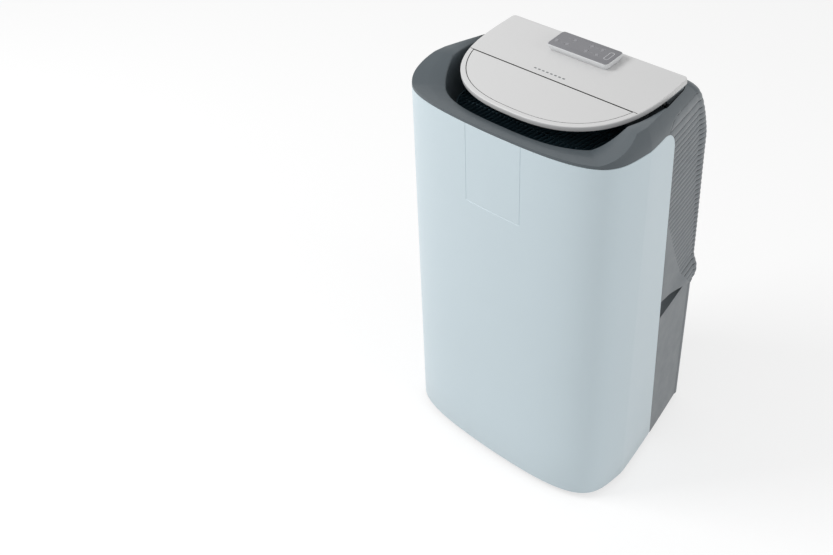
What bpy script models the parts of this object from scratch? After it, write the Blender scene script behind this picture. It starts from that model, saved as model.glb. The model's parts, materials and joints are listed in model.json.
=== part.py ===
"""A free-standing portable air conditioner: pale wrap-round front panel, ribbed grey rear hood, a lid that
lifts over the air outlet, a small remote control docked on the lid, and the cooling machinery inside.

Metres, +Z up, the front faces -Y. The origin is on the floor under the middle of the overall box."""

from math import asin, atan2, cos, pi, radians, sin, sqrt

import bmesh
import bpy
from mathutils import Matrix, Vector

# Overall sizes
WIDTH = 0.449
DEPTH = 0.395
LIP = 0.008  # how far the hood's lower lip stands out behind the body
FRONT_Y = -DEPTH / 2
BACK_Y = DEPTH / 2 - LIP
BODY_BOTTOM = 0.012
PANEL_TOP = 0.700
CREST_TOP = PANEL_TOP + 0.042  # the highest line of the top deck, behind the lid

# Plan outline: a bowed front with large corners, then sides that taper to the back
CORNER_SPAN = WIDTH / 2 + 0.1155
CORNER_DEPTH = 0.123
CORNER_POWER = 4.36
CORNER_Y = FRONT_Y + CORNER_DEPTH
SIDE_TAPER = 0.0634
TAPER_POWER = 1.107
BACK_RADIUS = 0.014
BACK_TURN = radians(13)  # how far the sides lean in where they meet the back corners

# Rear hood
LEAN_START = 0.365
LEAN = 0.008
SHOULDER_START = PANEL_TOP - 0.090
CREST_Y = BACK_Y - 0.1055
CREST_INSET = 0.022  # how far the sides of the deck round in by the height of its crest
SHOULDER_RADIUS = 0.036
CREST_RADIUS = 0.012
LIP_LOW = 0.283
LIP_PEAK = 0.320
LIP_TOP = 0.358
GRIP_FLOOR = 0.3025
GRIP_TOP = 0.337
GRIP_END_Y = BACK_Y - 0.0395
GRIP_DEPTH = 0.028

# Walls and gaps
WALL = 0.003
SKIN_WALL = 0.0025
GAP = 0.0004
SEAM = 0.0010
FRAME_GAP = 0.0005

# Front panel's rear edge
EDGE_Y_LOW = BACK_Y - 0.1395
EDGE_Y_HIGH = BACK_Y - 0.1725
EDGE_ROUND_Y = 0.045
EDGE_ROUND_Z = 0.040

# The lid's hinge line
HINGE_Y = CREST_Y - 0.026
HINGE_Z = PANEL_TOP + 0.033

# Air outlet
MOUTH_HALF = WIDTH / 2 - 0.0325
MOUTH_Y = -0.004
MOUTH_FRONT = MOUTH_Y - FRONT_Y - 0.0305
MOUTH_POWER = 3.0
MOUTH_BACK_Y = HINGE_Y - 0.028
THROAT_IN = 0.014
THROAT_Z = PANEL_TOP - 0.040
LAND_Z = PANEL_TOP + 0.019
CHEEK_Z = PANEL_TOP + 0.037
RING_Z = PANEL_TOP + 0.005
CREASE_Y = FRONT_Y + 0.0975
DUCT_LOW = PANEL_TOP - 0.100
GRILLE_THICK = 0.007
OUTLET_SLOTS = 21
OUTLET_PITCH = 0.0160
OUTLET_SLOT = 0.0105

# Lid, in its own frame: X along the hinge, Y back, Z out of the top face
LID_TILT = radians(9.04)
LID_TOP = 0.0212
LID_THICK = 0.0095
LID_SHEET = 0.0045
LID_HALF = MOUTH_HALF - 0.006
LID_POWER = 2.55
LID_MID_Y = -0.0305
LID_LENGTH = HINGE_Y - MOUTH_Y + MOUTH_FRONT + LID_MID_Y - 0.0165
LID_BACK_Y = 0.0149
LID_BACK_RADIUS = 0.008
COVER_INSET = 0.0085
COVER_BACK_Y = LID_MID_Y - LID_LENGTH + 0.103
COVER_THICK = 0.0022
ARM_INSET = 0.035  # from the body's side to the lid's arms, at the hinge line
ARM_THICK = 0.005
PIN_RADIUS = 0.003
BOSS_RADIUS = 0.0075
BRACKET_THICK = 0.005
MOTOR_RADIUS = 0.0095
MOTOR_LENGTH = 0.020

# Remote control
REMOTE_X = 0.003
REMOTE_Y = -0.0177  # its centre in the lid's frame
REMOTE_LENGTH = 0.126
REMOTE_WIDTH = 0.040
REMOTE_HEIGHT = 0.0115
REMOTE_RADIUS = 0.006
FACE_MARGIN = 0.002
FACE_THICK = 0.0015
FACE_POCKET = 0.0033
BUTTON_RADIUS = 0.0038
BUTTON_TRAVEL = 0.0006
BUTTON_PROUD = 0.0003
BUTTONS = {
    "remote_button_power": (-0.027, 0.0085),
    "remote_button_mode": (0.008, 0.0085),
    "remote_button_fan": (0.030, 0.0085),
    "remote_button_timer": (-0.054, -0.0070),
    "remote_button_swing": (-0.032, -0.0070),
    "remote_button_down": (0.008, -0.0070),
    "remote_button_up": (0.030, -0.0070),
}
BATTERY_COVER_LENGTH = 0.042
BATTERY_COVER_WIDTH = 0.026
BATTERY_COVER_THICK = 0.0014

# Base pan and castors
PAN_INSET = WALL + 0.0006
PAN_TOP = 0.050
PAN_FLOOR = 0.0045
WELL_RADIUS = 0.030
WELL_WALL = 0.003
CASTOR_FRONT = (WIDTH / 2 - 0.0745, FRONT_Y + 0.0795)
CASTOR_REAR = (WIDTH / 2 - 0.1025, BACK_Y - 0.0515)
WHEEL_RADIUS = 0.016
WELL_TOP = 2 * WHEEL_RADIUS + 0.0085
BOSS_TOP = WELL_TOP + 0.0115
WHEEL_WIDTH = 0.015
CASTOR_TRAIL = 0.009
AXLE_RADIUS = 0.0022
STEM_RADIUS = 0.0050

# Rear fittings
PORT_X = 0.0725
PORT_Z = 0.184
PORT_RADIUS = 0.062
PORT_WALL = 0.0028
PORT_FLANGE = 0.010
PORT_CLEAR = 0.0097
LOWER_LEFT = 0.0745 - WIDTH / 2
LOWER_RIGHT = PORT_X - PORT_RADIUS - PORT_WALL - PORT_FLANGE - PORT_CLEAR
LOWER_GRILLE = (LOWER_LEFT, LOWER_RIGHT, 0.090, 0.252)  # left, right, bottom, top
INTAKE_HALF = WIDTH / 2 - SIDE_TAPER - 0.0391
UPPER_GRILLE = (-INTAKE_HALF, INTAKE_HALF, LEAN_START + 0.020, SHOULDER_START - 0.015)
GRILLE_BORDER = 0.010
SLOT_PITCH = 0.0165
SLOT_HEIGHT = 0.0100
DRAIN_X = -0.020
DRAIN_Z = 0.0345
GLAND_X = -0.120
GLAND_Z = 0.068

# Machinery
BULKHEAD_Z = 0.268
BULKHEAD_THICK = 0.004
COMPRESSOR_X = -0.105
COMPRESSOR_Y = -0.030
COMPRESSOR_RADIUS = 0.052
COMPRESSOR_LOW = 0.062
COMPRESSOR_HIGH = 0.222
ACCUMULATOR_RADIUS = 0.018
FAN_SCROLL_X = (0.030, 0.115)
FAN_Y = 0.015
FAN_Z = 0.150
FAN_SCROLL_RADIUS = 0.082
FAN_RADIUS = 0.058
FAN_OUTLET_Y = BACK_Y - 0.0395
FAN_OUTLET_LOW = 0.136
BLOWER_HALF = 0.125
BLOWER_Y = -0.035
BLOWER_RADIUS = 0.100
BLOWER_WHEEL_RADIUS = 0.074
BLOWER_OUTLET_DEPTH = 0.095
MOTOR_BIG_RADIUS = 0.036
MOTOR_BIG_LENGTH = 0.046
SHAFT_RADIUS = 0.004
SHAFT_CLEAR = 0.0004
COIL_DEPTH = 0.028
COIL_BACK_Y = BACK_Y - 0.0435  # the upper coil's rear face and the lower coil's front face
COIL_HALF = INTAKE_HALF + 0.006
EVAPORATOR = (-COIL_HALF, COIL_HALF, COIL_BACK_Y - COIL_DEPTH, COIL_BACK_Y, BULKHEAD_Z + 0.0305, DUCT_LOW + 0.005)
CONDENSER = (LOWER_LEFT, LOWER_RIGHT, COIL_BACK_Y, COIL_BACK_Y + COIL_DEPTH, BOSS_TOP + FRAME_GAP, BULKHEAD_Z - 0.006)
FIN_PITCH = 0.018
FIN_DEPTH = 0.003

COLOURS = {
    "panel_white": ((0.80, 0.81, 0.82), 0.32, 0.0),
    "hood_grey": ((0.20, 0.205, 0.21), 0.48, 0.0),
    "deck_grey": ((0.23, 0.24, 0.25), 0.42, 0.0),
    "lid_white": ((0.78, 0.78, 0.775), 0.30, 0.0),
    "dark_plastic": ((0.030, 0.034, 0.040), 0.50, 0.0),
    "remote_grey": ((0.17, 0.17, 0.18), 0.40, 0.0),
    "remote_white": ((0.76, 0.76, 0.76), 0.30, 0.0),
    "button_grey": ((0.24, 0.24, 0.25), 0.45, 0.0),
    "inner_plastic": ((0.42, 0.43, 0.43), 0.60, 0.0),
    "rubber": ((0.03, 0.03, 0.03), 0.75, 0.0),
    "steel": ((0.55, 0.56, 0.57), 0.35, 1.0),
    "black_steel": ((0.04, 0.04, 0.045), 0.45, 0.6),
    "aluminium": ((0.70, 0.71, 0.72), 0.40, 1.0),
    "copper": ((0.72, 0.36, 0.20), 0.32, 1.0),
    "filter_mesh": ((0.10, 0.11, 0.13), 0.80, 0.0),
    "circuit_green": ((0.04, 0.22, 0.10), 0.50, 0.0),
}


# ---------------------------------------------------------------- scene and mesh helpers


def clear_scene():
    for obj in list(bpy.data.objects):
        bpy.data.objects.remove(obj, do_unlink=True)


def material(name):
    found = bpy.data.materials.get(name)
    if found:
        return found
    colour, roughness, metallic = COLOURS[name]
    made = bpy.data.materials.new(name)
    made.use_nodes = True
    shader = made.node_tree.nodes["Principled BSDF"]
    shader.inputs["Base Color"].default_value = (*colour, 1)
    shader.inputs["Roughness"].default_value = roughness
    shader.inputs["Metallic"].default_value = metallic
    made.diffuse_color = (*colour, 1)
    return made


def add_object(name, bm, finish, parent=None):
    """A mesh object from a bmesh, its faces turned outwards and its curved stretches shaded smooth."""
    bmesh.ops.recalc_face_normals(bm, faces=bm.faces)
    mesh = bpy.data.meshes.new(name)
    bm.to_mesh(mesh)
    bm.free()
    mesh.materials.append(material(finish))
    mesh.shade_smooth()
    mesh.set_sharp_from_angle(angle=radians(32))
    obj = bpy.data.objects.new(name, mesh)
    bpy.context.scene.collection.objects.link(obj)
    obj.parent = parent
    return obj


def add_empty(name, place, tilt=0.0, parent=None):
    empty = bpy.data.objects.new(name, None)
    empty.empty_display_size = 0.02
    empty.location = place
    empty.rotation_euler.x = tilt
    empty.parent = parent
    bpy.context.scene.collection.objects.link(empty)
    return empty


def hide_cutter(obj):
    obj.hide_render = True
    obj.display_type = "WIRE"
    return obj


def combine(obj, other, operation):
    """A live Boolean of two objects; the other one becomes a hidden helper."""
    modifier = obj.modifiers.new(other.name, "BOOLEAN")
    modifier.operation = operation
    modifier.solver = "EXACT"
    modifier.object = hide_cutter(other)
    return obj


def cut(obj, other):
    return combine(obj, other, "DIFFERENCE")


def join(obj, other):
    return combine(obj, other, "UNION")


def bevel_edges(obj, width, segments=2):
    modifier = obj.modifiers.new("rounded edges", "BEVEL")
    modifier.width = width
    modifier.segments = segments
    modifier.limit_method = "ANGLE"
    modifier.angle_limit = radians(50)
    return obj


def skin(name, outer, inner, finish, closed=False, parent=None):
    """A wall between two grids of points. The first index runs along the wall and the second one up it."""
    bm = bmesh.new()
    grids = [[[bm.verts.new(p) for p in column] for column in grid] for grid in (outer, inner)]
    columns, rows = len(outer), len(outer[0])
    for i in range(columns if closed else columns - 1):
        after = (i + 1) % columns
        for face, back in zip(grids, (False, True)):
            for k in range(rows - 1):
                corners = [face[i][k], face[after][k], face[after][k + 1], face[i][k + 1]]
                bm.faces.new(corners[::-1] if back else corners)
        for k in (0, rows - 1):
            bm.faces.new([grids[0][i][k], grids[1][i][k], grids[1][after][k], grids[0][after][k]])
    if not closed:
        for i in (0, columns - 1):
            for k in range(rows - 1):
                bm.faces.new(
                    [grids[0][i][k], grids[0][i][k + 1], grids[1][i][k + 1], grids[1][i][k]]
                )
    return add_object(name, bm, finish, parent)


def loft(name, loops, finish, parent=None):
    """A solid through closed loops of as many points each, with flat ends."""
    bm = bmesh.new()
    rings = [[bm.verts.new(p) for p in loop] for loop in loops]
    for low, high in zip(rings, rings[1:]):
        for i in range(len(low)):
            j = (i + 1) % len(low)
            bm.faces.new([low[i], low[j], high[j], high[i]])
    bm.faces.new(rings[0][::-1])
    bm.faces.new(rings[-1])
    return add_object(name, bm, finish, parent)


def along(axis, u, v, w):
    """A point at height w along an axis, with u and v across it in X, Y, Z order."""
    return {"X": (w, u, v), "Y": (u, w, v), "Z": (u, v, w)}[axis]


def prism(name, outline, axis, low, high, finish, parent=None):
    loops = [[along(axis, u, v, w) for u, v in outline] for w in (low, high)]
    return loft(name, loops, finish, parent)


def block(name, low, high, finish, parent=None):
    outline = [(low[0], low[1]), (high[0], low[1]), (high[0], high[1]), (low[0], high[1])]
    return prism(name, outline, "Z", low[2], high[2], finish, parent)


def blocks(name, boxes, finish, parent=None):
    """Several separate boxes in one mesh, for a cutter or for something that a union joins."""
    bm = bmesh.new()
    for low, high in boxes:
        middle = (Vector(low) + Vector(high)) / 2
        size = Vector(high) - Vector(low)
        place = Matrix.Translation(middle) @ Matrix.Diagonal((*size, 1))
        bmesh.ops.create_cube(bm, size=1, matrix=place)
    return add_object(name, bm, finish, parent)


def circle(u, v, radius, segments, turn=0.0):
    angles = [turn + 2 * pi * i / segments for i in range(segments)]
    return [(u + radius * cos(a), v + radius * sin(a)) for a in angles]


def rod(name, axis, centre, radius, low, high, finish, segments=24, parent=None):
    return prism(name, circle(*centre, radius, segments), axis, low, high, finish, parent)


def rods(name, axis, centres, radius, low, high, finish, segments=24, parent=None):
    """Several separate rods of one length in one mesh."""
    bm = bmesh.new()
    for centre in centres:
        rings = [
            [bm.verts.new(along(axis, u, v, w)) for u, v in circle(*centre, radius, segments)]
            for w in (low, high)
        ]
        for i in range(segments):
            j = (i + 1) % segments
            bm.faces.new([rings[0][i], rings[0][j], rings[1][j], rings[1][i]])
        bm.faces.new(rings[0][::-1])
        bm.faces.new(rings[1])
    return add_object(name, bm, finish, parent)


def turned(name, axis, centre, profile, finish, segments=28, closed=False, parent=None):
    """A turned solid. Each profile point is a radius and a height along the axis."""
    bm = bmesh.new()
    rings = []
    for radius, height in profile:
        count = segments if radius > 0 else 1
        points = circle(*centre, radius, count)
        rings.append([bm.verts.new(along(axis, u, v, height)) for u, v in points])
    pairs = list(zip(rings, rings[1:]))
    if closed:
        pairs.append((rings[-1], rings[0]))
    for low, high in pairs:
        for i in range(segments):
            j = (i + 1) % segments
            corners = [low[i % len(low)], low[j % len(low)], high[j % len(high)], high[i % len(high)]]
            bm.faces.new(list(dict.fromkeys(corners)))
    return add_object(name, bm, finish, parent)


def rounded_rectangle(half_u, half_v, radius, centre=(0, 0), steps=3):
    points = []
    for quarter, (su, sv) in enumerate(((1, 1), (-1, 1), (-1, -1), (1, -1))):
        for i in range(steps + 1):
            angle = pi / 2 * (quarter + i / steps)
            u = centre[0] + su * (half_u - radius) + radius * cos(angle)
            v = centre[1] + sv * (half_v - radius) + radius * sin(angle)
            points.append((u, v))
    return points


def smooth_step(value):
    value = min(max(value, 0.0), 1.0)
    return value * value * (3 - 2 * value)


# ---------------------------------------------------------------- the body's surface


def back_y(z):
    """The rear face's place at a height: upright, then a slight lean, then the round shoulder."""
    if z <= LEAN_START:
        return BACK_Y
    if z <= SHOULDER_START:
        return BACK_Y - LEAN * (z - LEAN_START) / (SHOULDER_START - LEAN_START)
    rise = min((z - SHOULDER_START) / (CREST_TOP - SHOULDER_START), 1.0)
    return CREST_Y + (BACK_Y - LEAN - CREST_Y) * sqrt(1 - rise * rise)


def round_in(z):
    """How far the front and sides are drawn in above the panel."""
    rise = min(max((z - PANEL_TOP) / (CREST_TOP - PANEL_TOP), 0.0), 1.0)
    return CREST_INSET * (1 - sqrt(1 - rise * rise))


def back_radius(z):
    """The back corners' radius: it grows up to the shoulder and shrinks again towards the crest."""
    grown = smooth_step((z - LIP_TOP) / (SHOULDER_START - LIP_TOP))
    shrunk = smooth_step((z - SHOULDER_START) / (CREST_TOP - SHOULDER_START))
    return BACK_RADIUS + (SHOULDER_RADIUS - BACK_RADIUS) * grown + (CREST_RADIUS - SHOULDER_RADIUS) * shrunk


def half_width(y, inset=0.0):
    share = max((y - CORNER_Y) / (BACK_Y - CORNER_Y), 0.0)
    return WIDTH / 2 - SIDE_TAPER * share**TAPER_POWER - inset


def front_points(inset=0.0, steps=9):
    """The right half of the bowed front, from the middle to where the side starts."""
    span, depth = CORNER_SPAN - inset, CORNER_DEPTH - inset
    middle_x = WIDTH / 2 - CORNER_SPAN
    start = asin((-middle_x / span) ** (CORNER_POWER / 2))
    points = []
    for i in range(steps + 1):
        angle = start + (pi / 2 - start) * i / steps
        x = middle_x + span * sin(angle) ** (2 / CORNER_POWER)
        y = CORNER_Y - depth * max(cos(angle), 0.0) ** (2 / CORNER_POWER)
        points.append((x, y))
    points[0] = (0.0, points[0][1])
    return points


def rear_points(z, start_y, inset=0.0, side_steps=5, corner_steps=3):
    """The right half behind start_y: the side, the back corner, and the middle of the back."""
    radius = back_radius(z)
    back = back_y(z) - inset
    turn_y = back_y(z) - radius
    corner_y = turn_y - radius * sin(BACK_TURN)
    inset_side = inset + round_in(z)
    corner_x = half_width(corner_y, inset_side) - (radius - inset) * cos(BACK_TURN)
    points = []
    for i in range(side_steps):
        y = start_y + (corner_y - start_y) * i / side_steps
        points.append((half_width(y, inset_side), y))
    for i in range(corner_steps + 1):
        angle = -BACK_TURN + (pi / 2 + BACK_TURN) * i / corner_steps
        points.append((corner_x + (radius - inset) * cos(angle), turn_y + (radius - inset) * sin(angle)))
    points.append((corner_x / 2, back))
    points.append((0.0, back))
    return points


def full_outline(z, inset=0.0):
    """The whole plan outline at a height, anticlockwise from the middle of the front."""
    right = front_points(inset + round_in(z)) + rear_points(z, CORNER_Y, inset)[1:]
    left = [(-x, y) for x, y in reversed(right[1:-1])]
    return right + left


def at_height(outline, z):
    return [(x, y, z) for x, y in outline]


def panel_edge_y(z):
    """The front panel's rear edge on the sides, with its rounded top corner."""
    y = EDGE_Y_LOW + (EDGE_Y_HIGH - EDGE_Y_LOW) * (z - BODY_BOTTOM) / (PANEL_TOP - BODY_BOTTOM)
    rise = min(max((z - PANEL_TOP + EDGE_ROUND_Z) / EDGE_ROUND_Z, 0.0), 1.0)
    return y - EDGE_ROUND_Y * (1 - sqrt(1 - rise * rise))


def lip_edge_z(y):
    """The hood's lower edge: level behind, rising towards the panel over the hand grip."""
    share = (GRIP_END_Y - y) / (GRIP_END_Y - EDGE_Y_LOW)
    rise = GRIP_FLOOR + (GRIP_TOP - GRIP_FLOOR) * max(share, 0.0) ** 0.6
    fall = smooth_step((y - GRIP_END_Y) / (BACK_Y - GRIP_END_Y))
    return rise - (GRIP_FLOOR - LIP_LOW) * fall


def lip_flare(y, z):
    """How far the hood's lip stands out of the body there."""
    if z >= LIP_TOP:
        return 0.0
    span = LIP_TOP - LIP_PEAK if z > LIP_PEAK else LIP_PEAK - LIP_LOW + 0.004
    bulge = 0.5 + 0.5 * cos(pi * min(abs(z - LIP_PEAK) / span, 1.0))
    return LIP * bulge * smooth_step((y - EDGE_Y_LOW - 0.01) / 0.09)


def mouth_outline_point(angle, inset=0.0):
    """Where a ray from the outlet's middle leaves its D-shaped outline."""
    half, front = MOUTH_HALF - inset, MOUTH_FRONT - inset
    c, s = cos(angle), sin(angle)
    reach = ((abs(c) / half) ** MOUTH_POWER + (abs(s) / front) ** MOUTH_POWER) ** (-1 / MOUTH_POWER)
    if s > 0:
        reach = min(reach, (MOUTH_BACK_Y - inset - MOUTH_Y) / s)
    return (reach * c, MOUTH_Y + reach * s)


# ---------------------------------------------------------------- outer shells


def corner_heights(steps=5):
    """The heights that step round the panel's top rear corner, which the hood's edge follows."""
    return [PANEL_TOP - FRAME_GAP - EDGE_ROUND_Z * (1 - sin(pi / 2 * i / steps)) for i in range(steps + 1)]


def panel_columns(inset):
    """Columns of the front panel, from its left rear edge round the front to its right one."""
    heights = [BODY_BOTTOM, PANEL_TOP - 0.45, PANEL_TOP - 0.20] + corner_heights()
    side_steps = 4
    right = [[] for _ in range(side_steps)]
    for z in heights:
        edge = panel_edge_y(z)
        for i, column in enumerate(right):
            y = CORNER_Y + (edge - CORNER_Y) * (i + 1) / side_steps
            column.append((half_width(y, inset), y, z))
    front = [[(x, y, z) for z in heights] for x, y in front_points(inset)]
    half = front + right
    left = [[(-x, y, z) for x, y, z in column] for column in reversed(half[1:])]
    return left + half


def make_front_panel():
    skin("front_panel", panel_columns(0.0), panel_columns(WALL), "panel_white")


def shell_columns(heights_at, inset, flared):
    """Columns of a rear shell, from the panel's right edge round the back to its left one."""
    columns = []
    for i in range(len(rear_points(LEAN_START, 0.0))):
        column = []
        for row in range(len(heights_at(BACK_Y))):
            z = LEAN_START
            for _ in range(3):
                x, y = rear_points(z, panel_edge_y(z) + SEAM, inset)[i]
                z = heights_at(y)[row]
            flare = lip_flare(y, z) if flared else 0.0
            x, y = rear_points(z, panel_edge_y(z) + SEAM, inset - flare)[i]
            column.append((x, y, z))
        columns.append(column)
    left = [[(-x, y, z) for x, y, z in column] for column in reversed(columns[:-1])]
    return columns + left


def hood_heights(y):
    """The hood's rows: through the flared lip, up the wall, and round the panel's top rear corner."""
    edge = lip_edge_z(y)
    lip = [edge + (LIP_TOP - edge) * i / 4 for i in range(5)]
    wall = [LEAN_START + 0.02, (LEAN_START + SHOULDER_START) / 2 + 0.0125, SHOULDER_START, SHOULDER_START + 0.030]
    return lip + wall + corner_heights()


def lower_shell_heights(y):
    top = min(GRIP_FLOOR, lip_edge_z(y) - SEAM)
    return [BODY_BOTTOM, BODY_BOTTOM + (top - BODY_BOTTOM) / 2, top]


def make_upper_rear_shell():
    shell = skin(
        "upper_rear_shell",
        shell_columns(hood_heights, 0.0, True),
        shell_columns(hood_heights, SKIN_WALL, True),
        "hood_grey",
    )
    left, right, low, high = UPPER_GRILLE
    window = block("intake_window", (left, BACK_Y - 0.04, low), (right, BACK_Y + 0.06, high), "hood_grey")
    cut(shell, window)


def make_lower_rear_shell():
    shell = skin(
        "lower_rear_shell",
        shell_columns(lower_shell_heights, 0.0, False),
        shell_columns(lower_shell_heights, SKIN_WALL, False),
        "hood_grey",
    )
    left, right, low, high = LOWER_GRILLE
    cut(shell, block("lower_window", (left, BACK_Y - 0.04, low), (right, BACK_Y + 0.06, high), "hood_grey"))
    port_hole = rod("port_hole", "Y", (PORT_X, PORT_Z), PORT_RADIUS + PORT_WALL + GAP, BACK_Y - 0.04,
                    BACK_Y + 0.06, "hood_grey", segments=48)
    cut(shell, port_hole)
    small_holes = rods("drain_and_gland_holes", "Y", [(DRAIN_X, DRAIN_Z), (GLAND_X, GLAND_Z)],
                       0.0088, BACK_Y - 0.04, BACK_Y + 0.06, "hood_grey")
    cut(shell, small_holes)


def deck_column(outline_index, thickness):
    """One column of the top deck's wall: up the rounded edge, over the crest, and down into the outlet."""
    low_point = full_outline(PANEL_TOP + FRAME_GAP)[outline_index]
    angle = atan2(low_point[1] - MOUTH_Y, low_point[0])
    behind = smooth_step((low_point[1] - MOUTH_BACK_Y + 0.030) / 0.034)
    crest = crest_height(low_point[1])
    rows = []
    for step in range(5):
        share = sin(pi / 2 * step / 4)
        z = PANEL_TOP + FRAME_GAP + (crest - PANEL_TOP - FRAME_GAP) * share
        x, y = full_outline(z - thickness * share, thickness)[outline_index]
        rows.append((x, y, z - thickness * share))
    mouth = Vector(mouth_outline_point(angle, -thickness))
    top = Vector(rows[-1][:2])
    ledge_share = 0.5 + (0.06 - 0.5) * behind
    ledge = top.lerp(mouth, ledge_share) if not thickness else top.lerp(mouth, ledge_share * 0.9)
    ledge_z = crest - 0.001 + (LAND_Z - crest + 0.001) * behind
    mouth_z = crest - 0.004 + (LAND_Z - crest + 0.004) * behind
    rows.append((*ledge, ledge_z - thickness))
    rows.append((*mouth, mouth_z - thickness))
    rows.append((*mouth_outline_point(angle, THROAT_IN - thickness), THROAT_Z))
    return rows


def crest_height(y):
    """The deck's highest line: low across the front, up to the crease, then along the cheeks to the back."""
    front_share = min(max((y - FRONT_Y - 0.030) / (CREASE_Y - FRONT_Y - 0.030), 0.0), 1.0)
    cheek = RING_Z + (CHEEK_Z - RING_Z) * front_share
    return cheek + (CREST_TOP - cheek) * smooth_step((y - CREST_Y) / 0.045)


def make_top_deck():
    count = len(full_outline(PANEL_TOP))
    outer = [deck_column(i, 0.0) for i in range(count)]
    inner = [deck_column(i, SKIN_WALL) for i in range(count)]
    skin("top_deck", outer, inner, "deck_grey", closed=True)


def make_grip_cups():
    """The hand grips' liners, behind the gaps between the two rear shells."""
    start_y = EDGE_Y_LOW + 0.003
    shape = []
    steps = 6
    for i in range(steps + 1):
        y = start_y + (GRIP_END_Y - 0.012 - start_y) * i / steps
        shape.append((y, lip_edge_z(y) - GAP))
    shape.append((GRIP_END_Y - 0.012, GRIP_FLOOR + GAP))
    shape.append((start_y, GRIP_FLOOR + GAP))
    middle = Vector((sum(y for y, _ in shape) / len(shape), sum(z for _, z in shape) / len(shape)))
    inside = [middle + (Vector(p) - middle) * 0.88 for p in shape]
    for side, name in ((1, "grip_cup_right"), (-1, "grip_cup_left")):
        def ring(points, depth):
            return [(side * (half_width(y, SKIN_WALL + GAP) - depth), y, z) for y, z in points]

        cup = loft(name, [ring(shape, 0.0), ring(shape, GRIP_DEPTH)], "hood_grey")
        hollow = loft(name + "_hollow", [ring(inside, -0.01), ring(inside, GRIP_DEPTH - 0.002)], "hood_grey")
        cut(cup, hollow)


# ---------------------------------------------------------------- rear fittings


def slot_boxes(left, right, low, high, depth_low, depth_high, columns):
    """Boxes for rows of slots with upright bars between their columns."""
    boxes = []
    bar = 0.005
    width = (right - left - 2 * GRILLE_BORDER - (columns - 1) * bar) / columns
    rows = int((high - low - 2 * GRILLE_BORDER + SLOT_PITCH - SLOT_HEIGHT) / SLOT_PITCH)
    first = (low + high - (rows - 1) * SLOT_PITCH) / 2
    for row in range(rows):
        z = first + row * SLOT_PITCH
        for column in range(columns):
            x = left + GRILLE_BORDER + column * (width + bar)
            boxes.append(((x, depth_low, z - SLOT_HEIGHT / 2), (x + width, depth_high, z + SLOT_HEIGHT / 2)))
    return boxes


def make_intake_grille():
    """The upper grille fills the hood's window and carries the dust filter on its inner face."""
    left, right, low, high = UPPER_GRILLE
    lean = atan2(LEAN, SHOULDER_START - LEAN_START)
    frame = add_empty("intake_grille_frame", (0, back_y(low), low), lean)
    height = high - low
    plate = block("intake_grille", (left + SEAM, -0.0035, SEAM), (right - SEAM, -0.0002, height - SEAM),
                  "hood_grey", frame)
    slots = blocks("intake_slots", slot_boxes(left, right, 0, height, -0.02, 0.02, 3), "hood_grey", frame)
    cut(plate, slots)
    border = 0.007
    rim = block("air_filter_frame", (left + 0.004, -0.0088, 0.004), (right - 0.004, -0.0040, height - 0.004),
                "dark_plastic", frame)
    bays = []
    for column in range(3):
        span = (right - left - 0.008 - 4 * border) / 3
        x = left + 0.004 + border + column * (span + border)
        bays.append(((x, -0.02, 0.004 + border), (x + span, 0.02, height - 0.004 - border)))
    cut(rim, blocks("filter_bays", bays, "dark_plastic", frame))
    block("air_filter_mesh", (left + 0.006, -0.0099, 0.006), (right - 0.006, -0.0092, height - 0.006),
          "filter_mesh", frame)


def make_lower_grille():
    left, right, low, high = LOWER_GRILLE
    plate = block("lower_grille", (left + SEAM, BACK_Y - 0.004, low + SEAM),
                  (right - SEAM, BACK_Y - 0.0002, high - SEAM), "hood_grey")
    slots = slot_boxes(left, right, low, high, BACK_Y - 0.04, BACK_Y + 0.06, 2)
    cut(plate, blocks("lower_slots", slots, "hood_grey"))


def make_exhaust_collar():
    """The round port that the exhaust hose pushes over, with its flange on the rear shell."""
    outer = PORT_RADIUS + PORT_WALL
    profile = [
        (PORT_RADIUS, FAN_OUTLET_Y + FRAME_GAP),
        (outer, FAN_OUTLET_Y + FRAME_GAP),
        (outer, BACK_Y + GAP),
        (outer + PORT_FLANGE, BACK_Y + GAP),
        (outer + PORT_FLANGE, BACK_Y + 0.0025),
        (outer + 0.0015, BACK_Y + 0.0045),
        (outer + 0.0015, BACK_Y + LIP - 0.0008),
        (PORT_RADIUS, BACK_Y + LIP - 0.0008),
    ]
    turned("exhaust_collar", "Y", (PORT_X, PORT_Z), profile, "dark_plastic", 32, closed=True)


def make_drain_plug():
    """A rubber plug in the base pan's drain, pulled straight out."""
    profile = [
        (0, BACK_Y - 0.018),
        (0.0050, BACK_Y - 0.018),
        (0.0056, BACK_Y - 0.004),
        (0.0056, BACK_Y + GAP),
        (0.0105, BACK_Y + GAP),
        (0.0105, BACK_Y + 0.0040),
        (0.0085, BACK_Y + 0.0062),
        (0, BACK_Y + 0.0062),
    ]
    turned("drain_plug", "Y", (DRAIN_X, DRAIN_Z), profile, "rubber", 24)


def make_cord_gland():
    """Where the mains lead leaves the rear shell."""
    profile = [
        (0.0038, BACK_Y - 0.012),
        (0.0084, BACK_Y - 0.012),
        (0.0084, BACK_Y + GAP),
        (0.0125, BACK_Y + GAP),
        (0.0125, BACK_Y + 0.0030),
        (0.0075, BACK_Y + 0.0070),
        (0.0038, BACK_Y + 0.0070),
    ]
    turned("cord_gland", "Y", (GLAND_X, GLAND_Z), profile, "dark_plastic", 24, closed=True)


# ---------------------------------------------------------------- lid and remote control


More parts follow.
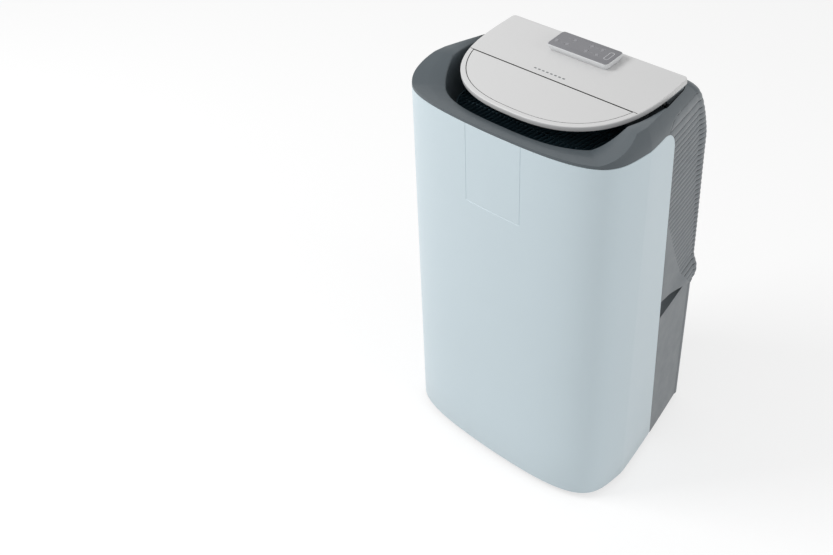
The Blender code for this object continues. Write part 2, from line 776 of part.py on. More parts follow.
def lid_outline(inset=0.0, back=LID_BACK_Y, steps=12):
    """The lid's D shape in its own frame, anticlockwise from the right rear corner."""
    half, reach = LID_HALF - inset, LID_LENGTH - inset
    edge = half - 0.0015
    radius = LID_BACK_RADIUS - min(inset, LID_BACK_RADIUS / 2)
    right = [(edge - radius + radius * sin(a), back - radius + radius * cos(a))
             for a in (0, pi / 6, pi / 3, pi / 2)]
    for i in range(steps + 1):
        angle = pi / 2 * i / steps
        x = half * max(cos(angle), 0.0) ** (2 / LID_POWER)
        y = LID_MID_Y - reach * sin(angle) ** (2 / LID_POWER)
        right.append((x, y))
    right[-1] = (0.0, right[-1][1])
    left = [(-x, y) for x, y in reversed(right[:-1])]
    return (right + left)[::-1]


def cover_outline(inset=0.0, steps=12):
    """The control cover: the front of the lid's D shape, cut off straight behind."""
    half, reach = LID_HALF - COVER_INSET - inset, LID_LENGTH - COVER_INSET - inset
    depth = (LID_MID_Y - COVER_BACK_Y + inset) / reach
    start = asin(depth ** (LID_POWER / 2))
    right = []
    for i in range(steps + 1):
        angle = start + (pi / 2 - start) * i / steps
        x = half * max(cos(angle), 0.0) ** (2 / LID_POWER)
        right.append((x, LID_MID_Y - reach * sin(angle) ** (2 / LID_POWER)))
    right[-1] = (0.0, right[-1][1])
    left = [(-x, y) for x, y in reversed(right[:-1])]
    return (right + left)[::-1]


def make_lid(lid):
    bottom = LID_TOP - LID_THICK
    sheet = LID_TOP - LID_SHEET
    edge = 0.0014
    loops = [at_height(lid_outline(0.0012), bottom), at_height(lid_outline(), bottom + edge),
             at_height(lid_outline(), LID_TOP - edge), at_height(lid_outline(0.0006), LID_TOP - edge / 3),
             at_height(lid_outline(edge), LID_TOP)]
    panel = loft("lid_panel", loops, "lid_white", lid)
    cut(panel, loft("lid_hollow", [at_height(lid_outline(WALL, LID_BACK_Y - WALL), bottom - 0.01),
                                   at_height(lid_outline(WALL, LID_BACK_Y - WALL), sheet)], "lid_white", lid))
    cut(panel, loft("cover_pocket", [at_height(cover_outline(), LID_TOP - COVER_THICK - GAP),
                                     at_height(cover_outline(), LID_TOP + 0.01)], "lid_white", lid))
    loft("control_cover", [at_height(cover_outline(GAP), LID_TOP - COVER_THICK),
                           at_height(cover_outline(GAP), LID_TOP - 0.0001)], "lid_white", lid)
    inside = WALL + GAP
    liner_loop = lid_outline(inside, LID_BACK_Y - inside)
    loft("lid_liner", [at_height(liner_loop, bottom + 0.0006), at_height(liner_loop, sheet - GAP)],
         "dark_plastic", lid)


def make_hinge(lid):
    """Arms under the lid turn on pins in brackets that stand on the deck; a small motor drives the left arm."""
    liner_under = LID_TOP - LID_THICK + 0.0006 - GAP
    arm_x = half_width(HINGE_Y) - ARM_INSET
    arm = [(BOSS_RADIUS * cos(a), BOSS_RADIUS * sin(a)) for a in
           [radians(-140 + 160 * i / 8) for i in range(9)]]
    arm += [(BOSS_RADIUS, liner_under), (-0.075, liner_under), (-0.044, liner_under - 0.005)]
    pin_out = arm_x + ARM_THICK / 2 + GAP + BRACKET_THICK
    land = (LAND_Z + GAP, LAND_Z + 0.024)
    for side, end in ((1, "right"), (-1, "left")):
        inner, outer = sorted((side * (arm_x - ARM_THICK / 2), side * (arm_x + ARM_THICK / 2)))
        plate = prism(f"hinge_arm_{end}", arm, "X", inner, outer, "deck_grey", lid)
        cut(plate, rod(f"arm_bore_{end}", "X", (0, 0), PIN_RADIUS + GAP, inner - 0.01, outer + 0.01,
                       "deck_grey", parent=lid))
        near, far = sorted((side * (arm_x - ARM_THICK / 2 - 0.001), side * (pin_out - 0.0005)))
        rod(f"hinge_pin_{end}", "X", (HINGE_Y, HINGE_Z), PIN_RADIUS, near, far, "steel")
        near, far = sorted((side * (arm_x + ARM_THICK / 2 + GAP), side * pin_out))
        stand = block(f"hinge_bracket_{end}", (near, HINGE_Y - 0.009, land[0]), (far, HINGE_Y + 0.0045, land[1]),
                      "dark_plastic")
        cut(stand, rod(f"bracket_bore_{end}", "X", (HINGE_Y, HINGE_Z), PIN_RADIUS + 0.00025,
                       near - 0.01, far + 0.01, "dark_plastic"))
    face = -(arm_x - ARM_THICK / 2 - 0.002)
    motor = rod("lid_motor", "X", (HINGE_Y, HINGE_Z), MOTOR_RADIUS, face, face + MOTOR_LENGTH, "steel")
    foot = block("lid_motor_foot", (face + 0.002, HINGE_Y - 0.012, LAND_Z + GAP),
                 (face + MOTOR_LENGTH - 0.002, HINGE_Y + 0.012, HINGE_Z - 0.004), "steel")
    join(motor, foot)


def make_remote(lid):
    """The remote control lies in the lid's frame, just clear of the lid's top face."""
    base = LID_TOP + GAP
    half = (REMOTE_LENGTH / 2, REMOTE_WIDTH / 2)
    centre = (REMOTE_X, REMOTE_Y)

    def rectangle(shrink):
        radius = REMOTE_RADIUS - shrink / 2
        return rounded_rectangle(half[0] - shrink, half[1] - shrink, radius, centre)

    top = base + REMOTE_HEIGHT
    loops = [at_height(rectangle(0.0022), base), at_height(rectangle(0.0005), base + 0.0016),
             at_height(rectangle(0), base + 0.0040), at_height(rectangle(0), top - 0.0010),
             at_height(rectangle(0.0008), top)]
    case = loft("remote_case", loops, "remote_white", lid)
    cut(case, loft("face_pocket", [at_height(rectangle(FACE_MARGIN), top - FACE_POCKET),
                                   at_height(rectangle(FACE_MARGIN), top + 0.01)], "remote_white", lid))
    face = loft("remote_face", [at_height(rectangle(FACE_MARGIN + GAP), top - FACE_THICK),
                                at_height(rectangle(FACE_MARGIN + GAP), top + 0.0004)], "remote_grey", lid)
    places = [(REMOTE_X + x, REMOTE_Y + y) for x, y in BUTTONS.values()]
    cut(face, rods("button_holes", "Z", places, BUTTON_RADIUS + GAP, top - 0.01, top + 0.01,
                   "remote_grey", 14, lid))
    low = top - FACE_POCKET + BUTTON_TRAVEL + 0.0002
    high = top + 0.0004 + BUTTON_PROUD
    for name, place in zip(BUTTONS, places):
        profile = [(0, low), (BUTTON_RADIUS, low), (BUTTON_RADIUS, high - 0.0003),
                   (BUTTON_RADIUS - 0.0004, high), (0, high)]
        turned(name, "Z", place, profile, "button_grey", 14, parent=lid)
    make_battery_cover(lid, case, base)


def make_battery_cover(lid, case, base):
    end = REMOTE_X + REMOTE_LENGTH / 2
    low = (end - BATTERY_COVER_LENGTH, REMOTE_Y - BATTERY_COVER_WIDTH / 2, base)
    high = (end - 0.0030, REMOTE_Y + BATTERY_COVER_WIDTH / 2, base + BATTERY_COVER_THICK)
    pocket = block("battery_pocket", (low[0] - GAP, low[1] - GAP, base - 0.01),
                   (end + 0.01, high[1] + GAP, high[2] + GAP), "remote_white", lid)
    cut(case, pocket)
    block("remote_battery_cover", low, high, "remote_white", lid)


# ---------------------------------------------------------------- base pan and castors


def castor_places():
    return {
        "front_left": (-CASTOR_FRONT[0], CASTOR_FRONT[1]),
        "front_right": CASTOR_FRONT,
        "rear_left": (-CASTOR_REAR[0], CASTOR_REAR[1]),
        "rear_right": CASTOR_REAR,
    }


def make_base_pan():
    low = BODY_BOTTOM + FRAME_GAP
    outer = full_outline(0, PAN_INSET)
    inner = full_outline(0, PAN_INSET + WALL)
    pan = loft("base_pan", [at_height(outer, low), at_height(outer, PAN_TOP)], "dark_plastic")
    cut(pan, loft("pan_hollow", [at_height(inner, low + PAN_FLOOR), at_height(inner, PAN_TOP + 0.01)],
                  "dark_plastic"))
    places = list(castor_places().values())
    join(pan, rods("castor_bosses", "Z", places, WELL_RADIUS + WELL_WALL, low + 0.001, BOSS_TOP,
                   "dark_plastic", 24))
    cut(pan, rods("castor_wells", "Z", places, WELL_RADIUS, 0, WELL_TOP, "dark_plastic", 24))
    cut(pan, rods("stem_bores", "Z", places, STEM_RADIUS + GAP, 0, BOSS_TOP - 0.002, "dark_plastic"))
    spout = rod("drain_spout", "Y", (DRAIN_X, DRAIN_Z), 0.0085, BACK_Y - 0.030, BACK_Y - 0.0030, "dark_plastic")
    join(pan, spout)
    cut(pan, rod("drain_bore", "Y", (DRAIN_X, DRAIN_Z), 0.0060, BACK_Y - 0.05, BACK_Y + 0.01, "dark_plastic"))


def castor_meshes():
    """One housing with its stem and axle, and one wheel, about the castor's own swivel axis."""
    cheek, plate = WHEEL_WIDTH / 2 + 0.0008, 0.002
    top = WELL_TOP - 0.0006
    deck = 2 * WHEEL_RADIUS + 0.0012
    arch = [(-cheek - plate, 0.010), (-cheek, 0.010), (-cheek, deck), (cheek, deck), (cheek, 0.010),
            (cheek + plate, 0.010), (cheek + plate, top), (-cheek - plate, top)]
    housing = prism("castor_pattern", arch, "Y", -0.010, CASTOR_TRAIL + 0.007, "dark_plastic")
    join(housing, rod("castor_stem", "Z", (0, 0), STEM_RADIUS, deck + 0.001, BOSS_TOP - 0.003, "dark_plastic"))
    join(housing, rod("castor_axle", "X", (CASTOR_TRAIL, WHEEL_RADIUS), AXLE_RADIUS, -cheek - 0.001,
                      cheek + 0.001, "dark_plastic", 16))
    half = WHEEL_WIDTH / 2
    profile = [(AXLE_RADIUS + GAP, -half), (WHEEL_RADIUS - 0.002, -half), (WHEEL_RADIUS, -half + 0.002),
               (WHEEL_RADIUS, half - 0.002), (WHEEL_RADIUS - 0.002, half), (AXLE_RADIUS + GAP, half)]
    wheel = turned("wheel_pattern", "X", (0, 0), profile, "rubber", 28, closed=True)
    return hide_cutter(housing), hide_cutter(wheel)


def make_castors():
    housing, wheel = castor_meshes()
    bpy.context.view_layer.update()
    graph = bpy.context.evaluated_depsgraph_get()
    housing_mesh = bpy.data.meshes.new_from_object(housing.evaluated_get(graph))
    for name, (x, y) in castor_places().items():
        body = bpy.data.objects.new(f"castor_housing_{name}", housing_mesh)
        body.location = (x, y, 0)
        roller = bpy.data.objects.new(f"castor_wheel_{name}", wheel.data)
        roller.location = (0, CASTOR_TRAIL, WHEEL_RADIUS)
        roller.parent = body
        for obj in (body, roller):
            bpy.context.scene.collection.objects.link(obj)


# ---------------------------------------------------------------- machinery


def make_bulkhead():
    """The floor between the two compartments, with a notch for the refrigerant pipes."""
    outer = full_outline(0, WALL + 0.0006)
    plate = loft("mid_bulkhead", [at_height(outer, BULKHEAD_Z), at_height(outer, BULKHEAD_Z + BULKHEAD_THICK)],
                 "inner_plastic")
    cut(plate, block("pipe_notch", (-0.205, -0.045, BULKHEAD_Z - 0.01), (-0.135, 0.030, BULKHEAD_Z + 0.01),
                     "inner_plastic"))


def make_condensate_tray():
    left, right, front, back, low, _ = EVAPORATOR
    floor = BULKHEAD_Z + BULKHEAD_THICK + GAP
    tray = block("condensate_tray", (left - 0.006, front - 0.008, floor), (right + 0.006, back + 0.012, low + 0.006),
                 "inner_plastic")
    cut(tray, block("tray_hollow", (left - 0.003, front - 0.005, low - GAP), (right + 0.003, back + 0.009,
                    low + 0.02), "inner_plastic"))
    cut(tray, blocks("tray_underside", [((left, front, floor - 0.01), (right, back, low - 0.004))],
                     "inner_plastic"))


def make_coil(name, box):
    """A finned coil: a solid block with a shallow groove between each pair of fin packs on both faces."""
    left, right, front, back, low, high = box
    coil = block(name, (left, front, low), (right, back, high), "aluminium")
    count = int((right - left) / FIN_PITCH)
    grooves = []
    for i in range(1, count):
        x = left + (right - left) * i / count
        for y in (front, back):
            grooves.append(((x - 0.002, y - FIN_DEPTH, low + 0.006), (x + 0.002, y + FIN_DEPTH, high - 0.006)))
    cut(coil, blocks(f"{name}_grooves", grooves, "aluminium"))


def make_compressor():
    pan_floor = BODY_BOTTOM + FRAME_GAP + PAN_FLOOR + GAP
    dome = 0.020
    profile = [(0, COMPRESSOR_LOW)]
    for i in range(4):
        angle = pi / 6 * i
        profile.append((COMPRESSOR_RADIUS * (0.8 + 0.2 * sin(angle)), COMPRESSOR_LOW + dome * (1 - cos(angle))))
    for i in range(4):
        angle = pi / 6 * i
        profile.append((COMPRESSOR_RADIUS * (0.45 + 0.55 * cos(angle)), COMPRESSOR_HIGH - dome * (1 - sin(angle))))
    profile.append((0, COMPRESSOR_HIGH))
    centre = (COMPRESSOR_X, COMPRESSOR_Y)
    pot = turned("compressor", "Z", centre, profile, "black_steel", 26)
    feet = [(COMPRESSOR_X + 0.058 * cos(a), COMPRESSOR_Y + 0.058 * sin(a))
            for a in (radians(30), radians(150), radians(270))]
    plate = prism("compressor_plate", circle(*centre, 0.070, 6, radians(30)), "Z", 0.0605, 0.0640, "black_steel")
    join(pot, plate)
    join(pot, rods("compressor_feet", "Z", feet, 0.009, pan_floor, 0.0625, "rubber", 20))


def make_accumulator():
    """The suction accumulator strapped against the compressor's side."""
    x = COMPRESSOR_X - COMPRESSOR_RADIUS - ACCUMULATOR_RADIUS - FRAME_GAP
    low, high, cone = 0.100, 0.200, 0.012
    profile = [(0, low), (0.006, low), (ACCUMULATOR_RADIUS, low + cone), (ACCUMULATOR_RADIUS, high - cone),
               (0.006, high), (0, high)]
    turned("accumulator", "Z", (x, COMPRESSOR_Y), profile, "black_steel", 24)


def pipe(name, points, radius):
    """A bent tube through a few points, with rounded corners."""
    curve = bpy.data.curves.new(name, "CURVE")
    curve.dimensions = "3D"
    curve.bevel_depth = radius
    curve.bevel_resolution = 2
    curve.use_fill_caps = True
    spline = curve.splines.new("POLY")
    route = rounded_route([Vector(p) for p in points], 3.2 * radius)
    spline.points.add(len(route) - 1)
    for target, point in zip(spline.points, route):
        target.co = (*point, 1)
    curve.materials.append(material("copper"))
    obj = bpy.data.objects.new(name, curve)
    bpy.context.scene.collection.objects.link(obj)
    return obj


def rounded_route(points, radius, steps=3):
    route = [points[0]]
    for before, corner, after in zip(points, points[1:], points[2:]):
        start = corner + (before - corner).normalized() * radius
        end = corner + (after - corner).normalized() * radius
        for i in range(steps + 1):
            share = i / steps
            route.append(start.lerp(corner, share).lerp(corner.lerp(end, share), share))
    route.append(points[-1])
    return route


def make_pipes():
    """Suction and discharge lines between the compressor and the two coils."""
    accumulator_x = COMPRESSOR_X - COMPRESSOR_RADIUS - ACCUMULATOR_RADIUS - FRAME_GAP
    left, _, front, back, _, high = EVAPORATOR
    coil_y = (front + back) / 2
    joint_z = high - 0.150
    pipe("suction_pipe", [(accumulator_x, COMPRESSOR_Y, 0.2005), (accumulator_x, COMPRESSOR_Y, joint_z),
                          (left - 0.020, coil_y, joint_z), (left - 0.0006, coil_y, joint_z)], 0.0048)
    _, _, condenser_front, _, _, condenser_high = CONDENSER
    run_z = condenser_high - 0.017
    pipe("discharge_pipe", [(COMPRESSOR_X, COMPRESSOR_Y, COMPRESSOR_HIGH + 0.0005),
                            (COMPRESSOR_X, COMPRESSOR_Y, run_z), (COMPRESSOR_X, condenser_front - 0.046, run_z),
                            (COMPRESSOR_X, condenser_front - 0.0006, run_z)], 0.0040)


def scroll_outline(centre, radius, outlet_end, outlet_side, shrink=0.0, steps=18):
    """A blower casing seen end on: round, with a straight outlet that leaves its top edge."""
    u, v = centre
    reach = radius - shrink
    turn = asin(min(max((outlet_side + shrink - v) / reach, -1.0), 1.0))
    points = [(outlet_end, v + reach)]
    for i in range(steps + 1):
        angle = pi / 2 + (3 * pi / 2 + turn) * i / steps
        points.append((u + reach * cos(angle), v + reach * sin(angle)))
    points.append((outlet_end, outlet_side + shrink))
    return points


def drum_outline(centre, radius, blades=24):
    """A blower wheel seen end on: a ring of short vanes."""
    points = []
    for i in range(blades):
        for share, reach in ((0.0, radius), (0.45, radius), (0.5, radius - 0.005), (0.95, radius - 0.005)):
            angle = 2 * pi * (i + share) / blades
            points.append((centre[0] + reach * cos(angle), centre[1] + reach * sin(angle)))
    return points


def make_condenser_fan():
    """The lower fan draws through the condenser and pushes the hot air out of the round port."""
    near, far = FAN_SCROLL_X
    centre = (FAN_Y, FAN_Z)
    casing = prism("condenser_scroll", scroll_outline(centre, FAN_SCROLL_RADIUS, FAN_OUTLET_Y, FAN_OUTLET_LOW),
                   "X", near, far, "inner_plastic")
    wall = 0.0025
    cavity = scroll_outline(centre, FAN_SCROLL_RADIUS, FAN_OUTLET_Y + 0.01, FAN_OUTLET_LOW, wall)
    cut(casing, prism("scroll_cavity", cavity, "X", near + wall, far - wall, "inner_plastic"))
    cut(casing, rod("scroll_inlet", "X", centre, 0.046, near - 0.01, near + 0.01, "inner_plastic", 32))
    cut(casing, rod("scroll_shaft_hole", "X", centre, SHAFT_RADIUS + 0.003, far - 0.01, far + 0.01,
                    "inner_plastic"))
    feet = blocks("scroll_feet", [((near, FAN_Y - 0.020, BODY_BOTTOM + FRAME_GAP + PAN_FLOOR + GAP),
                                   (far, FAN_Y + 0.020, FAN_Z - FAN_SCROLL_RADIUS + 0.0020))], "inner_plastic")
    join(casing, feet)
    wheel = prism("condenser_fan", drum_outline(centre, FAN_RADIUS), "X", near + 0.008, far - 0.008,
                  "dark_plastic")
    cut(wheel, rod("fan_hollow", "X", centre, FAN_RADIUS - 0.009, near, far - 0.012, "dark_plastic", 36))
    cut(wheel, rod("fan_bore", "X", centre, SHAFT_RADIUS + SHAFT_CLEAR, near, far + 0.01, "dark_plastic"))
    make_motor("condenser_motor", centre, far + FRAME_GAP, 1, far - 0.011)


def make_motor(name, centre, face, direction, shaft_end):
    """A round motor on a casing's side, its shaft reaching into the wheel."""
    low, high = sorted((face, face + direction * MOTOR_BIG_LENGTH))
    motor = rod(name, "X", centre, MOTOR_BIG_RADIUS, low, high, "steel", 32)
    bevel_edges(motor, 0.003, 1)
    low, high = sorted((shaft_end, face + direction * 0.005))
    join(motor, rod(f"{name}_shaft", "X", centre, SHAFT_RADIUS, low, high, "steel"))


def make_blower():
    """The upper blower draws room air through the evaporator and lifts it to the outlet."""
    floor = BULKHEAD_Z + BULKHEAD_THICK + FRAME_GAP
    height = floor + BLOWER_RADIUS
    front = BLOWER_Y - BLOWER_RADIUS
    outlet_back = front + BLOWER_OUTLET_DEPTH
    wall = 0.0025

    def upright(points):
        """Turns an outline whose outlet leaves along +u into one that leaves upwards at the front."""
        return [(-v, u) for u, v in points]

    casing_shape = upright(scroll_outline((height, -BLOWER_Y), BLOWER_RADIUS, DUCT_LOW - FRAME_GAP,
                                          -outlet_back))
    cavity_shape = upright(scroll_outline((height, -BLOWER_Y), BLOWER_RADIUS, DUCT_LOW + 0.01,
                                          -outlet_back, wall))
    centre = (BLOWER_Y, height)
    casing = prism("blower_scroll", casing_shape, "X", -BLOWER_HALF, BLOWER_HALF, "inner_plastic")
    cut(casing, prism("blower_cavity", cavity_shape, "X", -BLOWER_HALF + wall, BLOWER_HALF - wall,
                      "inner_plastic"))
    cut(casing, rod("blower_inlet", "X", centre, 0.060, -BLOWER_HALF - 0.01, -BLOWER_HALF + 0.01,
                    "inner_plastic", 36))
    cut(casing, rod("blower_shaft_hole", "X", centre, SHAFT_RADIUS + 0.003, BLOWER_HALF - 0.01,
                    BLOWER_HALF + 0.01, "inner_plastic"))
    wheel = prism("blower_wheel", drum_outline(centre, BLOWER_WHEEL_RADIUS, 28), "X", -BLOWER_HALF + 0.010,
                  BLOWER_HALF - 0.010, "dark_plastic")
    cut(wheel, rod("blower_hollow", "X", centre, BLOWER_WHEEL_RADIUS - 0.010, -BLOWER_HALF,
                   BLOWER_HALF - 0.014, "dark_plastic", 40))
    cut(wheel, rod("blower_bore", "X", centre, SHAFT_RADIUS + SHAFT_CLEAR, -BLOWER_HALF,
                   BLOWER_HALF + 0.01, "dark_plastic"))
    make_motor("blower_motor", centre, BLOWER_HALF + FRAME_GAP, 1, BLOWER_HALF - 0.013)
    make_outlet_duct(front, outlet_back, wall)


def throat_angles():
    """The directions of the deck's columns from the outlet's middle, so that what meets it has the same sides."""
    return [atan2(y - MOUTH_Y, x) for x, y in full_outline(PANEL_TOP + FRAME_GAP)]


def make_outlet_duct(front, back, wall):
    """The duct that widens from the blower's outlet to the D-shaped throat under the deck."""
    middle = (front + back) / 2

    def low_point(angle, out):
        c, s = cos(angle), sin(angle)
        half_x, half_y = BLOWER_HALF + out, (back - front) / 2 + out
        reach = min(half_x / max(abs(c), 1e-9), half_y / max(abs(s), 1e-9))
        return (reach * c, middle + reach * s)

    grids = []
    for out, throat in ((0.0, THROAT_IN - SKIN_WALL), (-wall, THROAT_IN + 0.003)):
        columns = []
        for angle in throat_angles():
            low = Vector(low_point(angle, out))
            high = Vector(mouth_outline_point(angle, throat))
            columns.append([(*low, DUCT_LOW), (*low.lerp(high, 0.45), DUCT_LOW + 0.024),
                            (*high, THROAT_Z - 0.012), (*high, THROAT_Z - FRAME_GAP)])
        grids.append(columns)
    skin("outlet_duct", grids[0], grids[1], "dark_plastic", closed=True)


def make_outlet_grille():
    """Close-set upright fins across the throat, in a rim that sits on the duct."""
    rim = [mouth_outline_point(angle, THROAT_IN + GAP) for angle in throat_angles()]
    grille = prism("outlet_grille", rim, "Z", THROAT_Z, THROAT_Z + GRILLE_THICK, "dark_plastic")
    slots = []
    inset = THROAT_IN + 0.007
    half, front = MOUTH_HALF - inset, MOUTH_FRONT - inset
    bars = (-0.070,)
    for i in range(OUTLET_SLOTS):
        x = (i - (OUTLET_SLOTS - 1) / 2) * OUTLET_PITCH
        reach = min((abs(x) + OUTLET_SLOT / 2) / half, 1.0)
        front_y = MOUTH_Y - front * (1 - reach**MOUTH_POWER) ** (1 / MOUTH_POWER)
        ends = [front_y, *(y for y in bars if y > front_y + 0.012), MOUTH_BACK_Y - inset]
        for start, end in zip(ends, ends[1:]):
            low = (x - OUTLET_SLOT / 2, start + 0.0015 * (start in bars), THROAT_Z - 0.01)
            slots.append((low, (x + OUTLET_SLOT / 2, end - 0.0015 * (end in bars), THROAT_Z + 0.02)))
    cut(grille, blocks("outlet_slots", slots, "dark_plastic"))


def make_electronics():
    """The control box stands in the right front of the lower compartment, with its board inside."""
    low = Vector((WIDTH / 2 - 0.0925, FRONT_Y + 0.0795, BOSS_TOP + FRAME_GAP))
    high = Vector((WIDTH / 2 - 0.0285, FRONT_Y + 0.1635, BULKHEAD_Z - 0.028))
    box = block("electronics_box", low, high, "inner_plastic")
    wall = 0.0025
    cut(box, block("electronics_hollow", (low[0] - 0.01, low[1] + wall, low[2] + wall),
                   (high[0] - wall, high[1] - wall, high[2] - wall), "inner_plastic"))
    board_x = high[0] - wall - 0.0085
    board = block("main_board", (board_x, low[1] + 0.006, low[2] + 0.008),
                  (board_x + 0.0016, high[1] - 0.006, high[2] - 0.008), "circuit_green")
    corner = Vector((board_x, low.y, low.z))
    parts = [(corner + Vector((-0.022, 0.018, 0.0225)), corner + Vector((0.001, 0.052, 0.0575))),
             (corner + Vector((-0.014, 0.058, 0.0325)), corner + Vector((0.001, 0.072, 0.0775))),
             (corner + Vector((-0.012, 0.014, 0.0975)), corner + Vector((0.001, 0.038, 0.1475))),
             (corner + Vector((0.001, 0.038, 0.0675)), Vector((high.x - wall - GAP, low.y + 0.044, low.z + 0.0735)))]
    join(board, blocks("board_parts", parts, "circuit_green"))


def main():
    clear_scene()
    make_front_panel()
    make_upper_rear_shell()
    make_lower_rear_shell()
    make_top_deck()
    make_grip_cups()
    make_intake_grille()
    make_lower_grille()
    make_exhaust_collar()
    make_drain_plug()
    make_cord_gland()
    lid = add_empty("lid_hinge_axis", (0, HINGE_Y, HINGE_Z), LID_TILT)
    make_lid(lid)
    make_hinge(lid)
    make_remote(lid)
    make_base_pan()
    make_castors()
    make_bulkhead()
    make_condensate_tray()
    make_coil("evaporator_coil", EVAPORATOR)
    make_coil("condenser_coil", CONDENSER)
    make_compressor()
    make_accumulator()
    make_pipes()
    make_condenser_fan()
    make_blower()
    make_outlet_grille()
    make_electronics()


main()
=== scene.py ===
"""Looks of a free-standing portable air conditioner: fine outer skins, ribs, louvres, trims and finishes.

Metres, +Z up, the front faces -Y. Every piece is made in place at the origin and rides on a body of the
frame."""

import json
from math import asin, atan2, cos, pi, radians, sin, sqrt

import bmesh
import bpy
from bpy.props import FloatProperty, FloatVectorProperty, IntProperty, PointerProperty
from mathutils import Matrix, Vector

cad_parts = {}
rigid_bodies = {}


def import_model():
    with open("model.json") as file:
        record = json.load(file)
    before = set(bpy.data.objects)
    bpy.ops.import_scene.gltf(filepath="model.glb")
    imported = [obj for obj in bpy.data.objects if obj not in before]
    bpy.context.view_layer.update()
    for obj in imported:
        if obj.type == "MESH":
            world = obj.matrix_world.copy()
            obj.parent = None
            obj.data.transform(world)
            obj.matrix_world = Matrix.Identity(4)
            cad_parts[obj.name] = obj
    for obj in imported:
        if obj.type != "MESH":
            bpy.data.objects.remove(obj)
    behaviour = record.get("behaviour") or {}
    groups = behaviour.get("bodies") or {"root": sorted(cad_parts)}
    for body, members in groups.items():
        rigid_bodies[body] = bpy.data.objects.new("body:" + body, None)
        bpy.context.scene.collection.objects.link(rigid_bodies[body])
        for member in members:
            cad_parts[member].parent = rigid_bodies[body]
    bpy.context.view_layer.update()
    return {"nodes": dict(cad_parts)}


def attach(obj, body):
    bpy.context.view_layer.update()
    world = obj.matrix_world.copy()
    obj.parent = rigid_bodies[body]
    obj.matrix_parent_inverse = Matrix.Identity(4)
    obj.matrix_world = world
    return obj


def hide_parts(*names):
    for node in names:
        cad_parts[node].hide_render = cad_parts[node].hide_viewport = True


for startup_object in list(bpy.data.objects):
    bpy.data.objects.remove(startup_object)
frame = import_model()

bl_info = {
    "name": "Portable air conditioner",
    "version": (1, 0, 0),
    "blender": (4, 5, 0),
    "location": "3D View > Sidebar > Air conditioner",
    "description": "Makes the skins, grilles, lid, remote control and finishes of a portable air conditioner",
    "category": "Add Mesh",
}

MATERIAL_PREFIX = "cooler_"

# Overall sizes, the same as the frame's
WIDTH = 0.449
FRONT_Y = -0.1975
BACK_Y = 0.1895
BODY_BOTTOM = 0.012
PANEL_TOP = 0.700
CREST_TOP = 0.742
WALL = 0.003
SKIN_WALL = 0.0025
GAP = 0.0004
SEAM = 0.0010
FRAME_GAP = 0.0005

# Plan outline
CORNER_SPAN = 0.340
CORNER_DEPTH = 0.123
CORNER_POWER = 4.36
CORNER_Y = -0.0745
SIDE_TAPER = 0.0634
TAPER_POWER = 1.107
BACK_RADIUS = 0.014
BACK_TURN = radians(13)

# Inlay in the front panel: the line's width, and how far from its middle its floor reaches
INLAY_LINE = 0.0008
INLAY_REACH = 0.00055

# Rear hood
LEAN_START = 0.365
LEAN = 0.008
SHOULDER_START = 0.610
CREST_Y = 0.084
CREST_INSET = 0.022
SHOULDER_POWER = 1.30  # how full the curve from the wall to the crest is
SHOULDER_RADIUS = 0.036
CREST_RADIUS = 0.012
LIP = 0.008
LIP_LOW = 0.283
LIP_PEAK = 0.320
LIP_TOP = 0.358
GRIP_FLOOR = 0.3025
GRIP_TOP = 0.337
GRIP_END_Y = 0.150
EDGE_Y_LOW = 0.050
EDGE_Y_HIGH = 0.017
EDGE_ROUND_Y = 0.045
EDGE_ROUND_Z = 0.040

# Ribs: the grooves' heights, the line that the ribs start on, and where the topmost groove dips to the panel
TOP_GROOVES = (0.7150, 0.6965, 0.6795, 0.6665, 0.6545, 0.6435)
LEVEL_GROOVES = 32
RIB_START = ((0.5155, 0.0262), (0.4606, 0.0549), (0.4296, 0.0710), (0.3915, 0.0937),
             (0.3515, 0.1177), (0.3102, 0.1525), (0.2830, 0.1765))
GROOVE_SHADE_REACH = 0.00075  # how near its middle a groove has its floor painted dark as shade
FIRST_GROOVE = ((0.6955, -0.0090), (0.7005, -0.0062), (0.7069, 0.0022), (0.7111, 0.0097),
                (0.7139, 0.0227), (0.7150, 0.0400))

# Top deck and air outlet
MOUTH_HALF = 0.192
MOUTH_FRONT = 0.163
MOUTH_POWER = 3.0
MOUTH_Y = -0.004
MOUTH_BACK_Y = 0.030
THROAT_IN = 0.014
THROAT_Z = 0.660
LAND_Z = 0.719
CHEEK_Z = 0.737
RING_Z = 0.705
CREASE_Y = -0.100
BAR_YS = (-0.09, -0.03)  # of the two bars under the fins
BAR_HALF = 0.16

# Lid, in its own frame: X along the hinge, Y back, Z out of its top
LID_TURN = radians(9.04)
HINGE_Y = 0.058
HINGE_Z = 0.733
LID_TOP = 0.0212
LID_THICK = 0.0095
LID_SHEET = 0.0045
LID_HALF = 0.186
LID_LENGTH = 0.178
LID_POWER = 2.55
LID_MID_Y = -0.0305
LID_BACK_Y = 0.0149
LID_BACK_RADIUS = 0.008
COVER_INSET = 0.0085
COVER_BACK_Y = -0.1055
COVER_THICK = 0.0022
# The webs under the lid at rest, as Y and Z of the whole machine, and the X of their two faces
WEB_OUTLINE = ((0.0135, 0.7372), (0.0300, 0.7226), (0.0330, 0.7224), (0.0560, 0.7268), (0.0665, 0.7325),
               (0.0680, 0.7420), (0.0655, 0.7446))
WEB_FACES = (0.1755, 0.1786)
LID_PLACE = Matrix.Translation((0, HINGE_Y, HINGE_Z)) @ Matrix.Rotation(LID_TURN, 4, "X")

